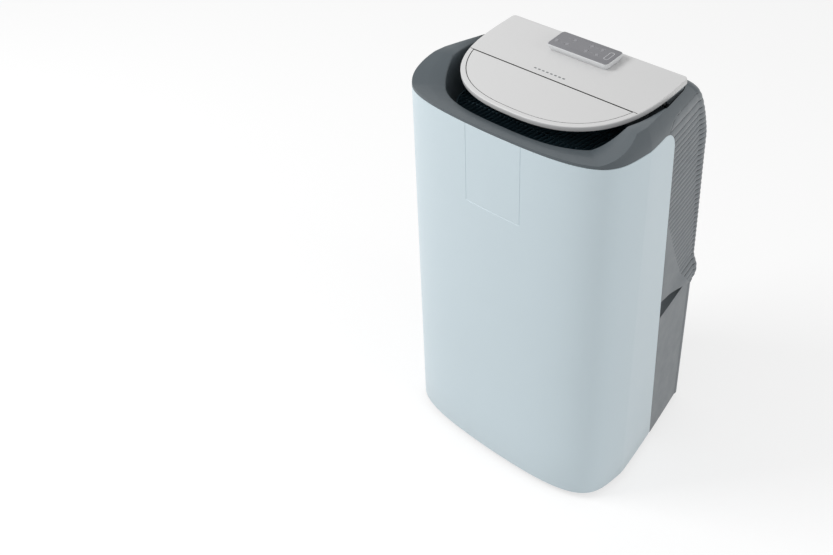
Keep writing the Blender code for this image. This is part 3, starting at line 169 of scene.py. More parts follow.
# Remote control, in the lid's frame
REMOTE_X = 0.003
REMOTE_Y = -0.0177
REMOTE_HALF = (0.0635, 0.0228)
REMOTE_MIDDLE_Y = REMOTE_Y - 0.001  # of its case, whose front edge stands a little further out than its keys
REMOTE_RADIUS = 0.006
REMOTE_BASE = LID_TOP + GAP
REMOTE_TOP = REMOTE_BASE + 0.0115
FACE_TOP = REMOTE_TOP + 0.0004
BUTTON_TOP = FACE_TOP + 0.0003
BUTTONS = {
    "power": (-0.027, 0.0085),
    "mode": (0.008, 0.0085),
    "fan": (0.030, 0.0085),
    "timer": (-0.054, -0.0070),
    "swing": (-0.032, -0.0070),
    "down": (0.008, -0.0070),
    "up": (0.030, -0.0070),
}

# Rear fittings
INTAKE = (-0.122, 0.122, 0.385, 0.595)
LOWER = (-0.150, -0.012, 0.090, 0.252)
PORT = (0.0725, 0.184)
PORT_RADIUS = 0.062
PORT_WALL = 0.0028
DRAIN = (-0.020, 0.0345)
GLAND = (-0.120, 0.068)
HOLE_RADIUS = 0.0088  # in the shell, for the drain bung and the gland
SCREWS = ((-0.1485, 0.030), (-0.1485, 0.268), (0.1485, 0.030), (0.1485, 0.090), (0.0, 0.268), (0.055, 0.030))
CASTORS = {
    "front_left": (-0.150, -0.118),
    "front_right": (0.150, -0.118),
    "rear_left": (-0.122, 0.138),
    "rear_right": (0.122, 0.138),
}
WHEEL_RADIUS = 0.016
CASTOR_TRAIL = 0.009

# Stage: the camera's axes and place, where the lamps point, and how white the floor is
CAMERA_RIGHT = (0.692754, 0.720100, -0.039339)
CAMERA_UP = (-0.405826, 0.434346, 0.804145)
CAMERA_BACK = (0.596152, -0.541110, 0.593130)
CAMERA_SPOT = (1.080630, -1.339846, 1.581119)
LAMP_AIM = (0, 0, 0.45)
WHITE = (1, 1, 1, 1)
FLOOR_GLOW = 1.08
FLOOR_LIFT = 0.62


# ---------------------------------------------------------------- settings
class CoolerFinishes(bpy.types.PropertyGroup):
    """Colours and gloss of the outer plastics."""

    panel: FloatVectorProperty(name="Front panel", description="Colour of the wrap-round front panel",
                               default=(0.62, 0.725, 0.775), min=0, max=1, subtype="COLOR")
    hood: FloatVectorProperty(name="Rear hood", description="Colour of the ribbed hood and the rear shells",
                              default=(0.190, 0.210, 0.225), min=0, max=1, subtype="COLOR")
    deck: FloatVectorProperty(name="Top deck", description="Colour of the deck round the air outlet",
                              default=(0.085, 0.105, 0.118), min=0, max=1, subtype="COLOR")
    lid: FloatVectorProperty(name="Lid", description="Colour of the lid and its control cover",
                             default=(0.70, 0.70, 0.70), min=0, max=1, subtype="COLOR")
    outlet: FloatVectorProperty(name="Outlet", description="Colour of the outlet and of other dark plastic",
                                default=(0.014, 0.030, 0.040), min=0, max=1, subtype="COLOR")
    remote_face: FloatVectorProperty(name="Remote face", description="Colour of the remote control's face",
                                     default=(0.215, 0.215, 0.23), min=0, max=1, subtype="COLOR")
    gloss: FloatProperty(name="Panel roughness", description="Roughness of the pale plastics",
                         default=0.34, min=0.05, max=1, subtype="FACTOR")


class CoolerRibs(bpy.types.PropertyGroup):
    """The grooves that run round the rear hood."""

    pitch: FloatProperty(name="Pitch", description="Height from one groove to the next on the hood's wall",
                         default=0.01069, min=0.004, max=0.03, unit="LENGTH")
    depth: FloatProperty(name="Depth", description="How deep each groove is cut",
                         default=0.0022, min=0, max=0.0024, unit="LENGTH")
    half_width: FloatProperty(name="Half width", description="From a groove's middle to the land beside it",
                              default=0.0022, min=0.0005, max=0.004, unit="LENGTH")
    crown: FloatProperty(name="Crown", description="How far each land falls away from its middle",
                         default=0.0008, min=0, max=0.002, unit="LENGTH")


class CoolerPanel(bpy.types.PropertyGroup):
    """The thin frame that is let into the top of the front panel."""

    inlay_left: FloatProperty(name="Inlay left", description="X of the inlay's left line",
                              default=-0.047, unit="LENGTH")
    inlay_right: FloatProperty(name="Inlay right", description="X of the inlay's right line",
                               default=0.070, unit="LENGTH")
    inlay_low: FloatProperty(name="Inlay foot", description="Height of the inlay's lower line",
                             default=0.556, unit="LENGTH")
    inlay_depth: FloatProperty(name="Inlay depth", description="How deep the inlay's line is",
                               default=0.0005, min=0, max=0.001, unit="LENGTH")


class CoolerOutlet(bpy.types.PropertyGroup):
    """The fins across the air outlet and the slats of the rear grilles."""

    fin_pitch: FloatProperty(name="Fin pitch", description="Distance between the outlet's fins",
                             default=0.009, min=0.005, max=0.03, unit="LENGTH")
    fin_thick: FloatProperty(name="Fin thickness", description="Thickness of one outlet fin",
                             default=0.0014, min=0.0006, max=0.004, unit="LENGTH")
    slat_pitch: FloatProperty(name="Slat pitch", description="Distance between slats of the rear grilles",
                              default=0.0082, min=0.005, max=0.03, unit="LENGTH")


class CoolerLid(bpy.types.PropertyGroup):
    """Marks on the lid and the remote control."""

    dash_count: IntProperty(name="Dashes", description="Plain dashes printed behind the lid's slot",
                            default=8, min=0, max=30)
    dash_pitch: FloatProperty(name="Dash pitch", description="Distance between two dashes",
                              default=0.0086, min=0.002, max=0.03, unit="LENGTH")


class CoolerStage(bpy.types.PropertyGroup):
    """Floor, lamps and camera."""

    floor: FloatVectorProperty(name="Floor", description="Colour of the floor",
                               default=(0.80, 0.80, 0.80), min=0, max=1, subtype="COLOR")
    key: FloatProperty(name="Key lamp", description="Power of the large lamp at the left front",
                       default=62, min=0, unit="POWER")
    fill: FloatProperty(name="Fill lamp", description="Power of the lamp at the right",
                        default=12, min=0, unit="POWER")
    sky: FloatProperty(name="Sky", description="Strength of the even light all round",
                       default=0.50, min=0, max=3)
    lens: FloatProperty(name="Lens", description="Focal length of the camera",
                        default=49.379, min=10, max=200, unit="CAMERA")


GROUPS = {
    "cooler_finishes": CoolerFinishes,
    "cooler_ribs": CoolerRibs,
    "cooler_panel": CoolerPanel,
    "cooler_outlet": CoolerOutlet,
    "cooler_lid": CoolerLid,
    "cooler_stage": CoolerStage,
}


# ---------------------------------------------------------------- small tools
def smooth_step(value):
    value = min(max(value, 0.0), 1.0)
    return value * value * (3 - 2 * value)


def between(value, table):
    """The second column of a table of pairs at this value of the first, which rises or falls steadily."""
    rising = sorted(table)
    if value <= rising[0][0]:
        return rising[0][1]
    for (low, low_out), (high, high_out) in zip(rising, rising[1:]):
        if value <= high:
            return low_out + (high_out - low_out) * (value - low) / (high - low)
    return rising[-1][1]


def new_piece(name, points, faces):
    mesh = bpy.data.meshes.new(name)
    mesh.from_pydata([tuple(p) for p in points], [], faces)
    mesh.update()
    obj = bpy.data.objects.new(name, mesh)
    bpy.context.scene.collection.objects.link(obj)
    return obj


def skin(name, outer, inner, closed=False, left_out=None):
    """A closed shell between two grids of points. Cells that left_out names are holes with walled edges."""
    columns, rows = len(outer), len(outer[0])
    points = [p for column in outer for p in column] + [p for column in inner for p in column]
    shift = columns * rows
    faces = []
    rim = set()
    for i in range(columns if closed else columns - 1):
        for j in range(rows - 1):
            if left_out and left_out(i, j):
                continue
            after = (i + 1) % columns
            quad = [i * rows + j, after * rows + j, after * rows + j + 1, i * rows + j + 1]
            faces.append(quad)
            faces.append([shift + v for v in reversed(quad)])
            for a, b in zip(quad, quad[1:] + quad[:1]):
                if (b, a) in rim:
                    rim.remove((b, a))
                else:
                    rim.add((a, b))
    faces += [[b, a, shift + a, shift + b] for a, b in sorted(rim)]
    return new_piece(name, points, faces)


def loft(name, loops):
    """A closed solid through loops of equal length, capped at both ends."""
    count = len(loops[0])
    points = [p for loop in loops for p in loop]
    faces = [list(range(count))[::-1], list(range((len(loops) - 1) * count, len(loops) * count))]
    for k in range(len(loops) - 1):
        for i in range(count):
            after = (i + 1) % count
            faces.append([k * count + i, k * count + after, (k + 1) * count + after, (k + 1) * count + i])
    return new_piece(name, points, faces)


def along(axis, u, v, w):
    """A point from its place u, v across an axis and w along it."""
    return {"X": (w, u, v), "Y": (u, w, v), "Z": (u, v, w)}[axis]


def prism(name, outline, axis, low, high):
    """An outline drawn out along an axis."""
    return loft(name, [[along(axis, u, v, w) for u, v in outline] for w in (low, high)])


def rectangle(left, right, low, high):
    return [(left, low), (right, low), (right, high), (left, high)]


def circle(centre, radius, segments):
    angles = [2 * pi * i / segments for i in range(segments)]
    return [(centre[0] + radius * cos(angle), centre[1] + radius * sin(angle)) for angle in angles]


def rounded(half_u, half_v, radius, centre=(0, 0), steps=8):
    """A rectangle with rounded corners, with steps of them in each quarter turn."""
    points = []
    for turn, (su, sv) in enumerate(((1, 1), (-1, 1), (-1, -1), (1, -1))):
        for i in range(steps + 1):
            angle = pi / 2 * (turn + i / steps)
            points.append((centre[0] + su * (half_u - radius) + radius * cos(angle),
                           centre[1] + sv * (half_v - radius) + radius * sin(angle)))
    return points


def turned(name, axis, centre, profile, segments=64):
    """A ring turned about an axis from a closed profile of radius and place along the axis."""
    points = []
    for i in range(segments):
        angle = 2 * pi * i / segments
        for radius, w in profile:
            points.append(along(axis, centre[0] + radius * cos(angle), centre[1] + radius * sin(angle), w))
    count = len(profile)
    faces = []
    for i in range(segments):
        after = (i + 1) % segments
        for j in range(count):
            nxt = (j + 1) % count
            faces.append([i * count + j, after * count + j, after * count + nxt, i * count + nxt])
    return new_piece(name, points, faces)


def filleted(points, cuts, steps=4):
    """The same line of points with the corners named in cuts rounded off by that distance."""
    made = []
    for k, point in enumerate(points):
        reach = cuts.get(k, 0)
        if not reach:
            made.append(Vector(point))
            continue
        here = Vector(point)
        back, ahead = Vector(points[k - 1]) - here, Vector(points[k + 1]) - here
        start = here + back * min(reach / max(back.length, 1e-6), 0.45)
        end = here + ahead * min(reach / max(ahead.length, 1e-6), 0.45)
        for i in range(steps + 1):
            t = i / steps
            made.append(start * (1 - t) ** 2 + here * (2 * t * (1 - t)) + end * t * t)
    return made


def at_height(outline, z):
    return [(x, y, z) for x, y in outline]


def closed_ring(name, outer, inner, low, high):
    """An upright ring between two outlines."""
    count = len(outer)
    points = at_height(outer, low) + at_height(outer, high) + at_height(inner, high) + at_height(inner, low)
    faces = []
    for i in range(count):
        after = (i + 1) % count
        for k in range(4):
            nxt = (k + 1) % 4
            faces.append([k * count + i, k * count + after, nxt * count + after, nxt * count + i])
    return new_piece(name, points, faces)


def settle(obj):
    """Turns the object's modifiers into a plain mesh."""
    graph = bpy.context.evaluated_depsgraph_get()
    shaped = obj.evaluated_get(graph)
    made = bpy.data.meshes.new_from_object(shaped, preserve_all_data_layers=True, depsgraph=graph)
    obj.modifiers.clear()
    obj.data = made
    return obj


def clean(obj):
    """Joins points that fall on each other, drops faces with no area and turns every face outward."""
    bm = bmesh.new()
    bm.from_mesh(obj.data)
    bmesh.ops.remove_doubles(bm, verts=bm.verts, dist=2e-6)
    bmesh.ops.dissolve_degenerate(bm, edges=bm.edges, dist=1e-6)
    bmesh.ops.recalc_face_normals(bm, faces=bm.faces)
    bm.to_mesh(obj.data)
    bm.free()
    return obj


def combine(obj, other, operation):
    """Cuts, joins or crosses an object with another, which is used up."""
    clean(obj)
    clean(other)
    boolean = obj.modifiers.new(operation, "BOOLEAN")
    boolean.operation = operation
    boolean.solver = "EXACT"
    boolean.object = other
    settle(obj)
    bpy.data.objects.remove(other)
    if not obj.data.polygons:
        raise RuntimeError(f"{obj.name} lost its faces")
    return obj


def cut(obj, other):
    return combine(obj, other, "DIFFERENCE")


def soften(obj, width, segments=2, angle=35):
    """Rounds off the edges that turn by more than the angle in degrees."""
    clean(obj)
    bevel = obj.modifiers.new("edges", "BEVEL")
    bevel.width = width
    bevel.segments = segments
    bevel.limit_method = "ANGLE"
    bevel.angle_limit = radians(angle)
    return settle(obj)


def merge(name, parts):
    """One object out of several, each already in place."""
    bm = bmesh.new()
    for part in parts:
        bm.from_mesh(part.data)
        bpy.data.objects.remove(part)
    mesh = bpy.data.meshes.new(name)
    bm.to_mesh(mesh)
    bm.free()
    obj = bpy.data.objects.new(name, mesh)
    bpy.context.scene.collection.objects.link(obj)
    return obj


def place(obj, matrix):
    obj.data.transform(matrix)
    obj.data.update()
    return obj


def hand_over(obj, body, slot, stands_for=(), finish=None, angle=32):
    """Shades a finished piece, gives it its finish unless it has one, and hands it to the frame."""
    clean(obj)
    obj.data.polygons.foreach_set("use_smooth", [True] * len(obj.data.polygons))
    obj.data.set_sharp_from_angle(angle=radians(angle))
    if not obj.data.materials:
        obj.data.materials.append(finish or finish_of(slot))
    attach(obj, body)
    if stands_for:
        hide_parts(*stands_for)
    return obj


# ---------------------------------------------------------------- finishes
class Finish:
    """A material whose nodes are laid out one after another and joined by name."""

    def __init__(self, name, roughness, metallic=0.0):
        self.material = bpy.data.materials.new(name)
        self.material.use_nodes = True
        self.nodes = self.material.node_tree.nodes
        self.links = self.material.node_tree.links
        self.shader = self.nodes["Principled BSDF"]
        self.shader.inputs["Roughness"].default_value = roughness
        self.shader.inputs["Metallic"].default_value = metallic
        self.place = self.nodes.new("ShaderNodeTexCoord").outputs["Object"]
        self.bumps = None

    def stretched(self, scale):
        mapping = self.nodes.new("ShaderNodeMapping")
        mapping.inputs["Scale"].default_value = scale
        self.links.new(self.place, mapping.inputs["Vector"])
        return mapping.outputs["Vector"]

    def noise(self, scale, detail=3.0, rough=0.55, vector=None):
        node = self.nodes.new("ShaderNodeTexNoise")
        node.inputs["Scale"].default_value = scale
        node.inputs["Detail"].default_value = detail
        node.inputs["Roughness"].default_value = rough
        self.links.new(vector or self.place, node.inputs["Vector"])
        return node.outputs["Fac"]

    def bands(self, direction, scale, vector=None, distortion=0.0):
        node = self.nodes.new("ShaderNodeTexWave")
        node.bands_direction = direction
        node.inputs["Scale"].default_value = scale
        node.inputs["Distortion"].default_value = distortion
        self.links.new(vector or self.place, node.inputs["Vector"])
        return node.outputs["Fac"]

    def ranged(self, value, low, high, out_low, out_high):
        node = self.nodes.new("ShaderNodeMapRange")
        node.inputs["From Min"].default_value = low
        node.inputs["From Max"].default_value = high
        node.inputs["To Min"].default_value = out_low
        node.inputs["To Max"].default_value = out_high
        self.links.new(value, node.inputs["Value"])
        return node.outputs["Result"]

    def blend(self, share, first, second):
        node = self.nodes.new("ShaderNodeMix")
        node.data_type = "RGBA"
        self.links.new(share, node.inputs["Factor"])
        for socket, colour in ((node.inputs[6], first), (node.inputs[7], second)):
            if isinstance(colour, bpy.types.NodeSocket):
                self.links.new(colour, socket)
            else:
                socket.default_value = (*colour, 1)
        return node.outputs[2]

    def bump(self, height, distance, strength=1.0):
        node = self.nodes.new("ShaderNodeBump")
        node.inputs["Distance"].default_value = distance
        node.inputs["Strength"].default_value = strength
        self.links.new(height, node.inputs["Height"])
        if self.bumps:
            self.links.new(self.bumps, node.inputs["Normal"])
        self.bumps = node.outputs["Normal"]
        self.links.new(self.bumps, self.shader.inputs["Normal"])

    def colour(self, socket):
        self.links.new(socket, self.shader.inputs["Base Color"])

    def rough(self, socket):
        self.links.new(socket, self.shader.inputs["Roughness"])


def shade(colour, share):
    return tuple(min(c * share, 1.0) for c in colour)


def moulded(name, colour, roughness, grain=700.0, grain_depth=0.00003, mottle=0.04, scuffs=0.10):
    """Moulded plastic: a fine spark-eroded grain, uneven gloss from handling and a slight drift in colour."""
    finish = Finish(name, roughness)
    drift = finish.ranged(finish.noise(5.0, 4.0), 0.3, 0.7, 0.0, 1.0)
    body = finish.blend(drift, shade(colour, 1 - mottle), shade(colour, 1 + mottle * 0.6))
    speck = finish.ranged(finish.noise(grain * 1.7, 1.0), 0.35, 0.75, 0.0, 0.5)
    finish.colour(finish.blend(speck, body, shade(colour, 1 - 1.6 * mottle)))
    worn = finish.noise(38.0, 6.0, 0.65)
    finish.rough(finish.ranged(worn, 0.3, 0.7, roughness - scuffs / 2, roughness + scuffs / 2))
    finish.bump(finish.noise(grain, 2.0), grain_depth, 0.6)
    finish.bump(finish.noise(9.0, 1.0), 0.0005, 0.25)
    return finish


def metal(name, colour, roughness, streak=(6, 6, 260), metallic=1.0):
    """Drawn or rolled metal: long streaks, tarnish in patches and a fine tooth."""
    finish = Finish(name, roughness, metallic)
    lines = finish.noise(6.0, 3.0, 0.6, finish.stretched(streak))
    patches = finish.ranged(finish.noise(22.0, 5.0), 0.35, 0.7, 0.0, 1.0)
    finish.colour(finish.blend(patches, colour, shade(colour, 0.72)))
    finish.rough(finish.ranged(lines, 0.25, 0.75, roughness - 0.10, roughness + 0.14))
    finish.bump(lines, 0.00005, 0.5)
    return finish


def coil_metal(name, colour):
    """A finned coil seen from a little way off: thin upright fins, painted shade for the gaps between them,
    and dust.
    """
    finish = metal(name, colour, 0.42)
    fins = finish.bands("X", 170.0)
    dust = finish.ranged(finish.noise(30.0, 5.0), 0.4, 0.75, 0.0, 0.7)
    lit = finish.blend(dust, colour, (0.36, 0.35, 0.33))
    # Painted shade: near-black bands where the gaps between the fins would be.
    finish.colour(finish.blend(finish.ranged(fins, 0.0, 0.45, 1.0, 0.0), lit, (0.05, 0.05, 0.05)))
    finish.bump(fins, 0.0006, 0.8)
    return finish


def woven(name, colour):
    """The dust filter's plastic net."""
    finish = Finish(name, 0.8)
    across, upright = finish.bands("X", 220.0), finish.bands("Z", 220.0)
    finish.bump(across, 0.0004, 0.7)
    finish.bump(upright, 0.0004, 0.7)
    lint = finish.ranged(finish.noise(60.0, 6.0), 0.5, 0.8, 0.0, 0.8)
    net = finish.blend(finish.ranged(across, 0.2, 0.6, 0.0, 1.0), shade(colour, 0.4), colour)
    finish.colour(finish.blend(lint, net, (0.35, 0.34, 0.32)))
    return finish


def board(name, colour):
    """Lacquered board with paler copper tracks under it."""
    finish = Finish(name, 0.30)
    tracks = finish.ranged(finish.bands("Z", 60.0, distortion=6.0), 0.55, 0.62, 0.0, 1.0)
    finish.colour(finish.blend(tracks, colour, (0.10, 0.34, 0.16)))
    finish.bump(tracks, 0.0001, 0.6)
    finish.rough(finish.ranged(finish.noise(40.0, 4.0), 0.3, 0.7, 0.22, 0.42))
    return finish


def make_finish(slot):
    """A slot's finish. Plastics say their colour, roughness, grain, its depth, drift and scuffs."""
    settings = bpy.context.scene.cooler_finishes
    gloss = settings.gloss
    name = MATERIAL_PREFIX + slot
    makers = {
        "panel_white": lambda: moulded(name, settings.panel, gloss, 900.0, 0.00002, 0.012, 0.06),
        "hood_grey": lambda: moulded(name, settings.hood, 0.46, 650.0, 0.00006, 0.05, 0.12),
        "deck_grey": lambda: moulded(name, settings.deck, 0.40, 750.0, 0.00004, 0.04, 0.10),
        "lid_white": lambda: moulded(name, settings.lid, gloss, 900.0, 0.00002, 0.012, 0.06),
        "dark_plastic": lambda: moulded(name, settings.outlet, 0.50, 600.0, 0.00006, 0.12, 0.14),
        "inner_plastic": lambda: moulded(name, (0.42, 0.43, 0.43), 0.60, 420.0, 0.00012, 0.06, 0.14),
        "remote_grey": lambda: moulded(name, settings.remote_face, 0.42, 1100.0, 0.00002, 0.03, 0.10),
        "remote_white": lambda: moulded(name, (0.70, 0.71, 0.72), 0.36, 1000.0, 0.00002, 0.02, 0.08),
        "button_grey": lambda: moulded(name, (0.30, 0.30, 0.32), 0.50, 1000.0, 0.00003, 0.04, 0.10),
        "rubber": lambda: moulded(name, (0.030, 0.030, 0.031), 0.74, 380.0, 0.00015, 0.20, 0.16),
        "steel": lambda: metal(name, (0.55, 0.56, 0.57), 0.36),
        "black_steel": lambda: metal(name, (0.045, 0.045, 0.050), 0.48, (5, 5, 40), 0.6),
        "aluminium": lambda: coil_metal(name, (0.70, 0.71, 0.72)),
        "copper": lambda: metal(name, (0.72, 0.36, 0.20), 0.34, (8, 8, 60)),
        "filter_mesh": lambda: woven(name, (0.10, 0.11, 0.13)),
        "circuit_green": lambda: board(name, (0.04, 0.20, 0.09)),
        # painted shade: the hood's colour darkened for the floors of the grooves
        "groove": lambda: moulded(name, shade(settings.hood, 0.30), 0.62, 500.0, 0.00006, 0.10, 0.12),
        # painted light: the hood's colour brightened for the webs, which stand in the shade under the lid
        "web_grey": lambda: moulded(name, shade(settings.hood, 1.9), 0.44, 650.0, 0.00006, 0.05, 0.12),
        "outlet_fin": lambda: moulded(name, shade(settings.outlet, 2.4), 0.46, 600.0, 0.00005, 0.10, 0.12),
        "gap_shadow": lambda: moulded(name, (0.05, 0.05, 0.05), 0.70, 500.0, 0.00005, 0.10, 0.10),
        "mid_print": lambda: moulded(name, (0.36, 0.365, 0.38), 0.55, 1200.0, 0.00001, 0.03, 0.05),
        "pale_print": lambda: moulded(name, (0.66, 0.67, 0.69), 0.55, 1200.0, 0.00001, 0.03, 0.05),
        "grey_print": lambda: moulded(name, (0.20, 0.21, 0.22), 0.55, 1200.0, 0.00001, 0.03, 0.05),
    }
    return makers[slot]().material


def finish_of(slot):
    """The material of a finish, made the first time that it is wanted."""
    return bpy.data.materials.get(MATERIAL_PREFIX + slot) or make_finish(slot)


# ---------------------------------------------------------------- repeats, as geometry nodes
class Tree:
    """A geometry node tree with its sockets and nodes joined in order."""

    def __init__(self, name, sockets):
        self.group = bpy.data.node_groups.new(name, "GeometryNodeTree")
        face = self.group.interface
        face.new_socket("Geometry", in_out="INPUT", socket_type="NodeSocketGeometry")
        for label, kind in sockets:
            face.new_socket(label, in_out="INPUT", socket_type="NodeSocket" + kind)
        face.new_socket("Material", in_out="INPUT", socket_type="NodeSocketMaterial")
        face.new_socket("Geometry", in_out="OUTPUT", socket_type="NodeSocketGeometry")
        self.inputs = self.node("NodeGroupInput").outputs

    def node(self, kind, sources=(), **settings):
        made = self.group.nodes.new(kind)
        for key, value in settings.items():
            setattr(made, key, value)
        for socket, source in dict(sources).items():
            if isinstance(source, bpy.types.NodeSocket):
                self.group.links.new(source, made.inputs[socket])
            else:
                made.inputs[socket].default_value = source
        return made

    def math(self, operation, *values, clamp=False):
        node = self.node("ShaderNodeMath", dict(enumerate(values)), operation=operation, use_clamp=clamp)
        return node.outputs[0]

    def attribute(self, name, kind="FLOAT"):
        node = self.node("GeometryNodeInputNamedAttribute", {"Name": name}, data_type=kind)
        return node.outputs["Attribute"]

    def end(self, geometry):
        real = self.node("GeometryNodeRealizeInstances", {"Geometry": geometry}).outputs[0]
        painted = self.node("GeometryNodeSetMaterial",
                            {"Geometry": real, "Material": self.inputs["Material"]})
        self.node("NodeGroupOutput", {"Geometry": painted.outputs[0]})
        return self.group


def grooves_tree():
    """Cuts grooves into a skin whose points know how far they are from a groove, and which way is out, and
    paints shade on the groove floors with a darker material.
    """
    tree = Tree("cooler_grooves", [("Depth", "Float"), ("Half width", "Float"), ("Crown", "Float"),
                                   ("Floor width", "Float"), ("Floor material", "Material")])
    distance = tree.attribute("groove_distance")
    share = tree.math("DIVIDE", distance, tree.inputs["Half width"], clamp=True)
    valley = tree.math("POWER", tree.math("SUBTRACT", 1.0, share), 1.6)
    cut_in = tree.math("MULTIPLY", valley, tree.inputs["Depth"])
    far = tree.math("SUBTRACT", 1.0, tree.math("DIVIDE", distance, tree.attribute("half_gap"), clamp=True))
    fall = tree.math("MULTIPLY", tree.math("POWER", far, 2.0), tree.inputs["Crown"])
    both = tree.math("MULTIPLY", tree.math("ADD", cut_in, fall), tree.attribute("ribbed"))
    inward = tree.math("MULTIPLY", both, -1.0)
    shift = tree.node("ShaderNodeVectorMath", operation="SCALE")
    tree.group.links.new(tree.attribute("outward", "FLOAT_VECTOR"), shift.inputs[0])
    tree.group.links.new(inward, shift.inputs["Scale"])
    moved = tree.node("GeometryNodeSetPosition",
                      {"Geometry": tree.inputs["Geometry"], "Offset": shift.outputs[0]})
    real = tree.node("GeometryNodeRealizeInstances", {"Geometry": moved.outputs[0]})
    lands = tree.node("GeometryNodeSetMaterial",
                      {"Geometry": real.outputs[0], "Material": tree.inputs["Material"]})
    # Painted shade: faces on a groove's floor take the darker floor material.
    on_shaded_floor = tree.math("LESS_THAN", distance, tree.inputs["Floor width"])
    on_ribs = tree.math("GREATER_THAN", tree.attribute("ribbed"), 0.5)
    floors = tree.node("GeometryNodeSetMaterial", {"Geometry": lands.outputs[0],
                       "Selection": tree.math("MULTIPLY", on_shaded_floor, on_ribs),
                       "Material": tree.inputs["Floor material"]})
    tree.node("NodeGroupOutput", {"Geometry": floors.outputs[0]})
    return tree.group


def row_tree():
    """Repeats a pattern piece along a straight step."""
    tree = Tree("cooler_row", [("Count", "Int"), ("Step", "Vector")])
    line = tree.node("GeometryNodeMeshLine", {"Count": tree.inputs["Count"], "Offset": tree.inputs["Step"]})
    copies = tree.node("GeometryNodeInstanceOnPoints",
                       {"Points": line.outputs[0], "Instance": tree.inputs["Geometry"]})
    return tree.end(copies.outputs[0])


def ring_tree():
    """Repeats a pattern piece round the Z axis, turned with it."""
    tree = Tree("cooler_ring", [("Count", "Int")])
    line = tree.node("GeometryNodeMeshLine", {"Count": tree.inputs["Count"], "Offset": (0, 0, 0)})
    whole = tree.math("DIVIDE", 2 * pi, tree.inputs["Count"])
    turn = tree.math("MULTIPLY", tree.node("GeometryNodeInputIndex").outputs[0], whole)
    rotation = tree.node("ShaderNodeCombineXYZ", {"Z": turn})
    copies = tree.node("GeometryNodeInstanceOnPoints", {"Points": line.outputs[0],
                       "Instance": tree.inputs["Geometry"], "Rotation": rotation.outputs[0]})
    return tree.end(copies.outputs[0])


def scatter_tree():
    """Sets a pattern piece on every point of a mesh of places."""
    tree = Tree("cooler_scatter", [("Pattern", "Object")])
    pattern = tree.node("GeometryNodeObjectInfo", {"Object": tree.inputs["Pattern"]})
    copies = tree.node("GeometryNodeInstanceOnPoints",
                       {"Points": tree.inputs["Geometry"], "Instance": pattern.outputs["Geometry"]})
    return tree.end(copies.outputs[0])


def grown(obj, maker, slot, **values):
    """Runs one of the trees on an object and keeps the result as a plain mesh."""
    name = maker.__name__
    group = bpy.data.node_groups.get("cooler_" + name.removesuffix("_tree")) or maker()
    modifier = obj.modifiers.new(name, "NODES")
    modifier.node_group = group
    values["Material"] = finish_of(slot)
    for item in group.interface.items_tree:
        label = item.name.replace(" ", "_")
        if item.item_type == "SOCKET" and item.in_out == "INPUT" and label in values:
            modifier[item.identifier] = values[label]
    return settle(obj)


# ---------------------------------------------------------------- the body's surface
def back_y(z):
    """The back's Y at a height: upright, then leaning in, then curving over the shoulder to the crest."""
    if z <= LEAN_START:
        return BACK_Y
    if z <= SHOULDER_START:
        return BACK_Y - LEAN * (z - LEAN_START) / (SHOULDER_START - LEAN_START)
    rise = min((z - SHOULDER_START) / (CREST_TOP - SHOULDER_START), 1.0)
    return CREST_Y + (BACK_Y - LEAN - CREST_Y) * (1 - rise ** SHOULDER_POWER) ** (1 / SHOULDER_POWER)


def round_in(z):
    """How far the deck's edge has rounded inwards at a height above the panel."""
    rise = min(max((z - PANEL_TOP) / (CREST_TOP - PANEL_TOP), 0.0), 1.0)
    return CREST_INSET * (1 - sqrt(1 - rise * rise))


def back_radius(z):
    wall = smooth_step((z - LIP_TOP) / (SHOULDER_START - LIP_TOP))
    shoulder = smooth_step((z - SHOULDER_START) / (CREST_TOP - SHOULDER_START))
    return BACK_RADIUS + (SHOULDER_RADIUS - BACK_RADIUS) * wall + (CREST_RADIUS - SHOULDER_RADIUS) * shoulder


def half_width(y, inset=0.0):
    share = max((y - CORNER_Y) / (BACK_Y - CORNER_Y), 0.0)
    return WIDTH / 2 - SIDE_TAPER * share ** TAPER_POWER - inset


def front_point(share, inset):
    """A point of the bowed front, from the middle at 0 to the widest place at 1."""
    span, depth = CORNER_SPAN - inset, CORNER_DEPTH - inset
    middle_x = WIDTH / 2 - CORNER_SPAN
    start = asin((-middle_x / span) ** (CORNER_POWER / 2))
    angle = start + (pi / 2 - start) * share
    x = middle_x + span * sin(angle) ** (2 / CORNER_POWER)
    return (0.0 if share == 0 else x), CORNER_Y - depth * max(cos(angle), 0.0) ** (2 / CORNER_POWER)


def bow_y(x, inset):
    """The bowed front's Y at a distance from the middle."""
    span, depth = CORNER_SPAN - inset, CORNER_DEPTH - inset
    share = (abs(x) - WIDTH / 2 + CORNER_SPAN) / span
    return CORNER_Y - depth * max(1 - max(share, 0) ** CORNER_POWER, 0.0) ** (1 / CORNER_POWER)


def rear_point(i, z, start_y, inset, sides, corners, backs):
    """Point i of the side, then the rear corner, then the back to the middle."""
    radius = back_radius(z)
    turn_y = back_y(z) - radius
    corner_y = turn_y - radius * sin(BACK_TURN)
    inset_side = inset + round_in(z)
    corner_x = half_width(corner_y, inset_side) - (radius - inset) * cos(BACK_TURN)
    if i < sides:
        y = start_y + (corner_y - start_y) * i / sides
        return half_width(y, inset_side), y
    if i <= sides + corners:
        angle = -BACK_TURN + (pi / 2 + BACK_TURN) * (i - sides) / corners
        return corner_x + (radius - inset) * cos(angle), turn_y + (radius - inset) * sin(angle)
    edge = min(INTAKE[1], corner_x - 0.001)
    share = (i - sides - corners - 1) / (backs - 1)
    return edge * (1 - share), back_y(z) - inset


def panel_edge_y(z):
    """The Y of the front panel's upright side edge, which rounds forwards at its top corner."""
    y = EDGE_Y_LOW + (EDGE_Y_HIGH - EDGE_Y_LOW) * (z - BODY_BOTTOM) / (PANEL_TOP - BODY_BOTTOM)
    rise = min(max((z - PANEL_TOP + EDGE_ROUND_Z) / EDGE_ROUND_Z, 0.0), 1.0)
    return y - EDGE_ROUND_Y * (1 - sqrt(1 - rise * rise))


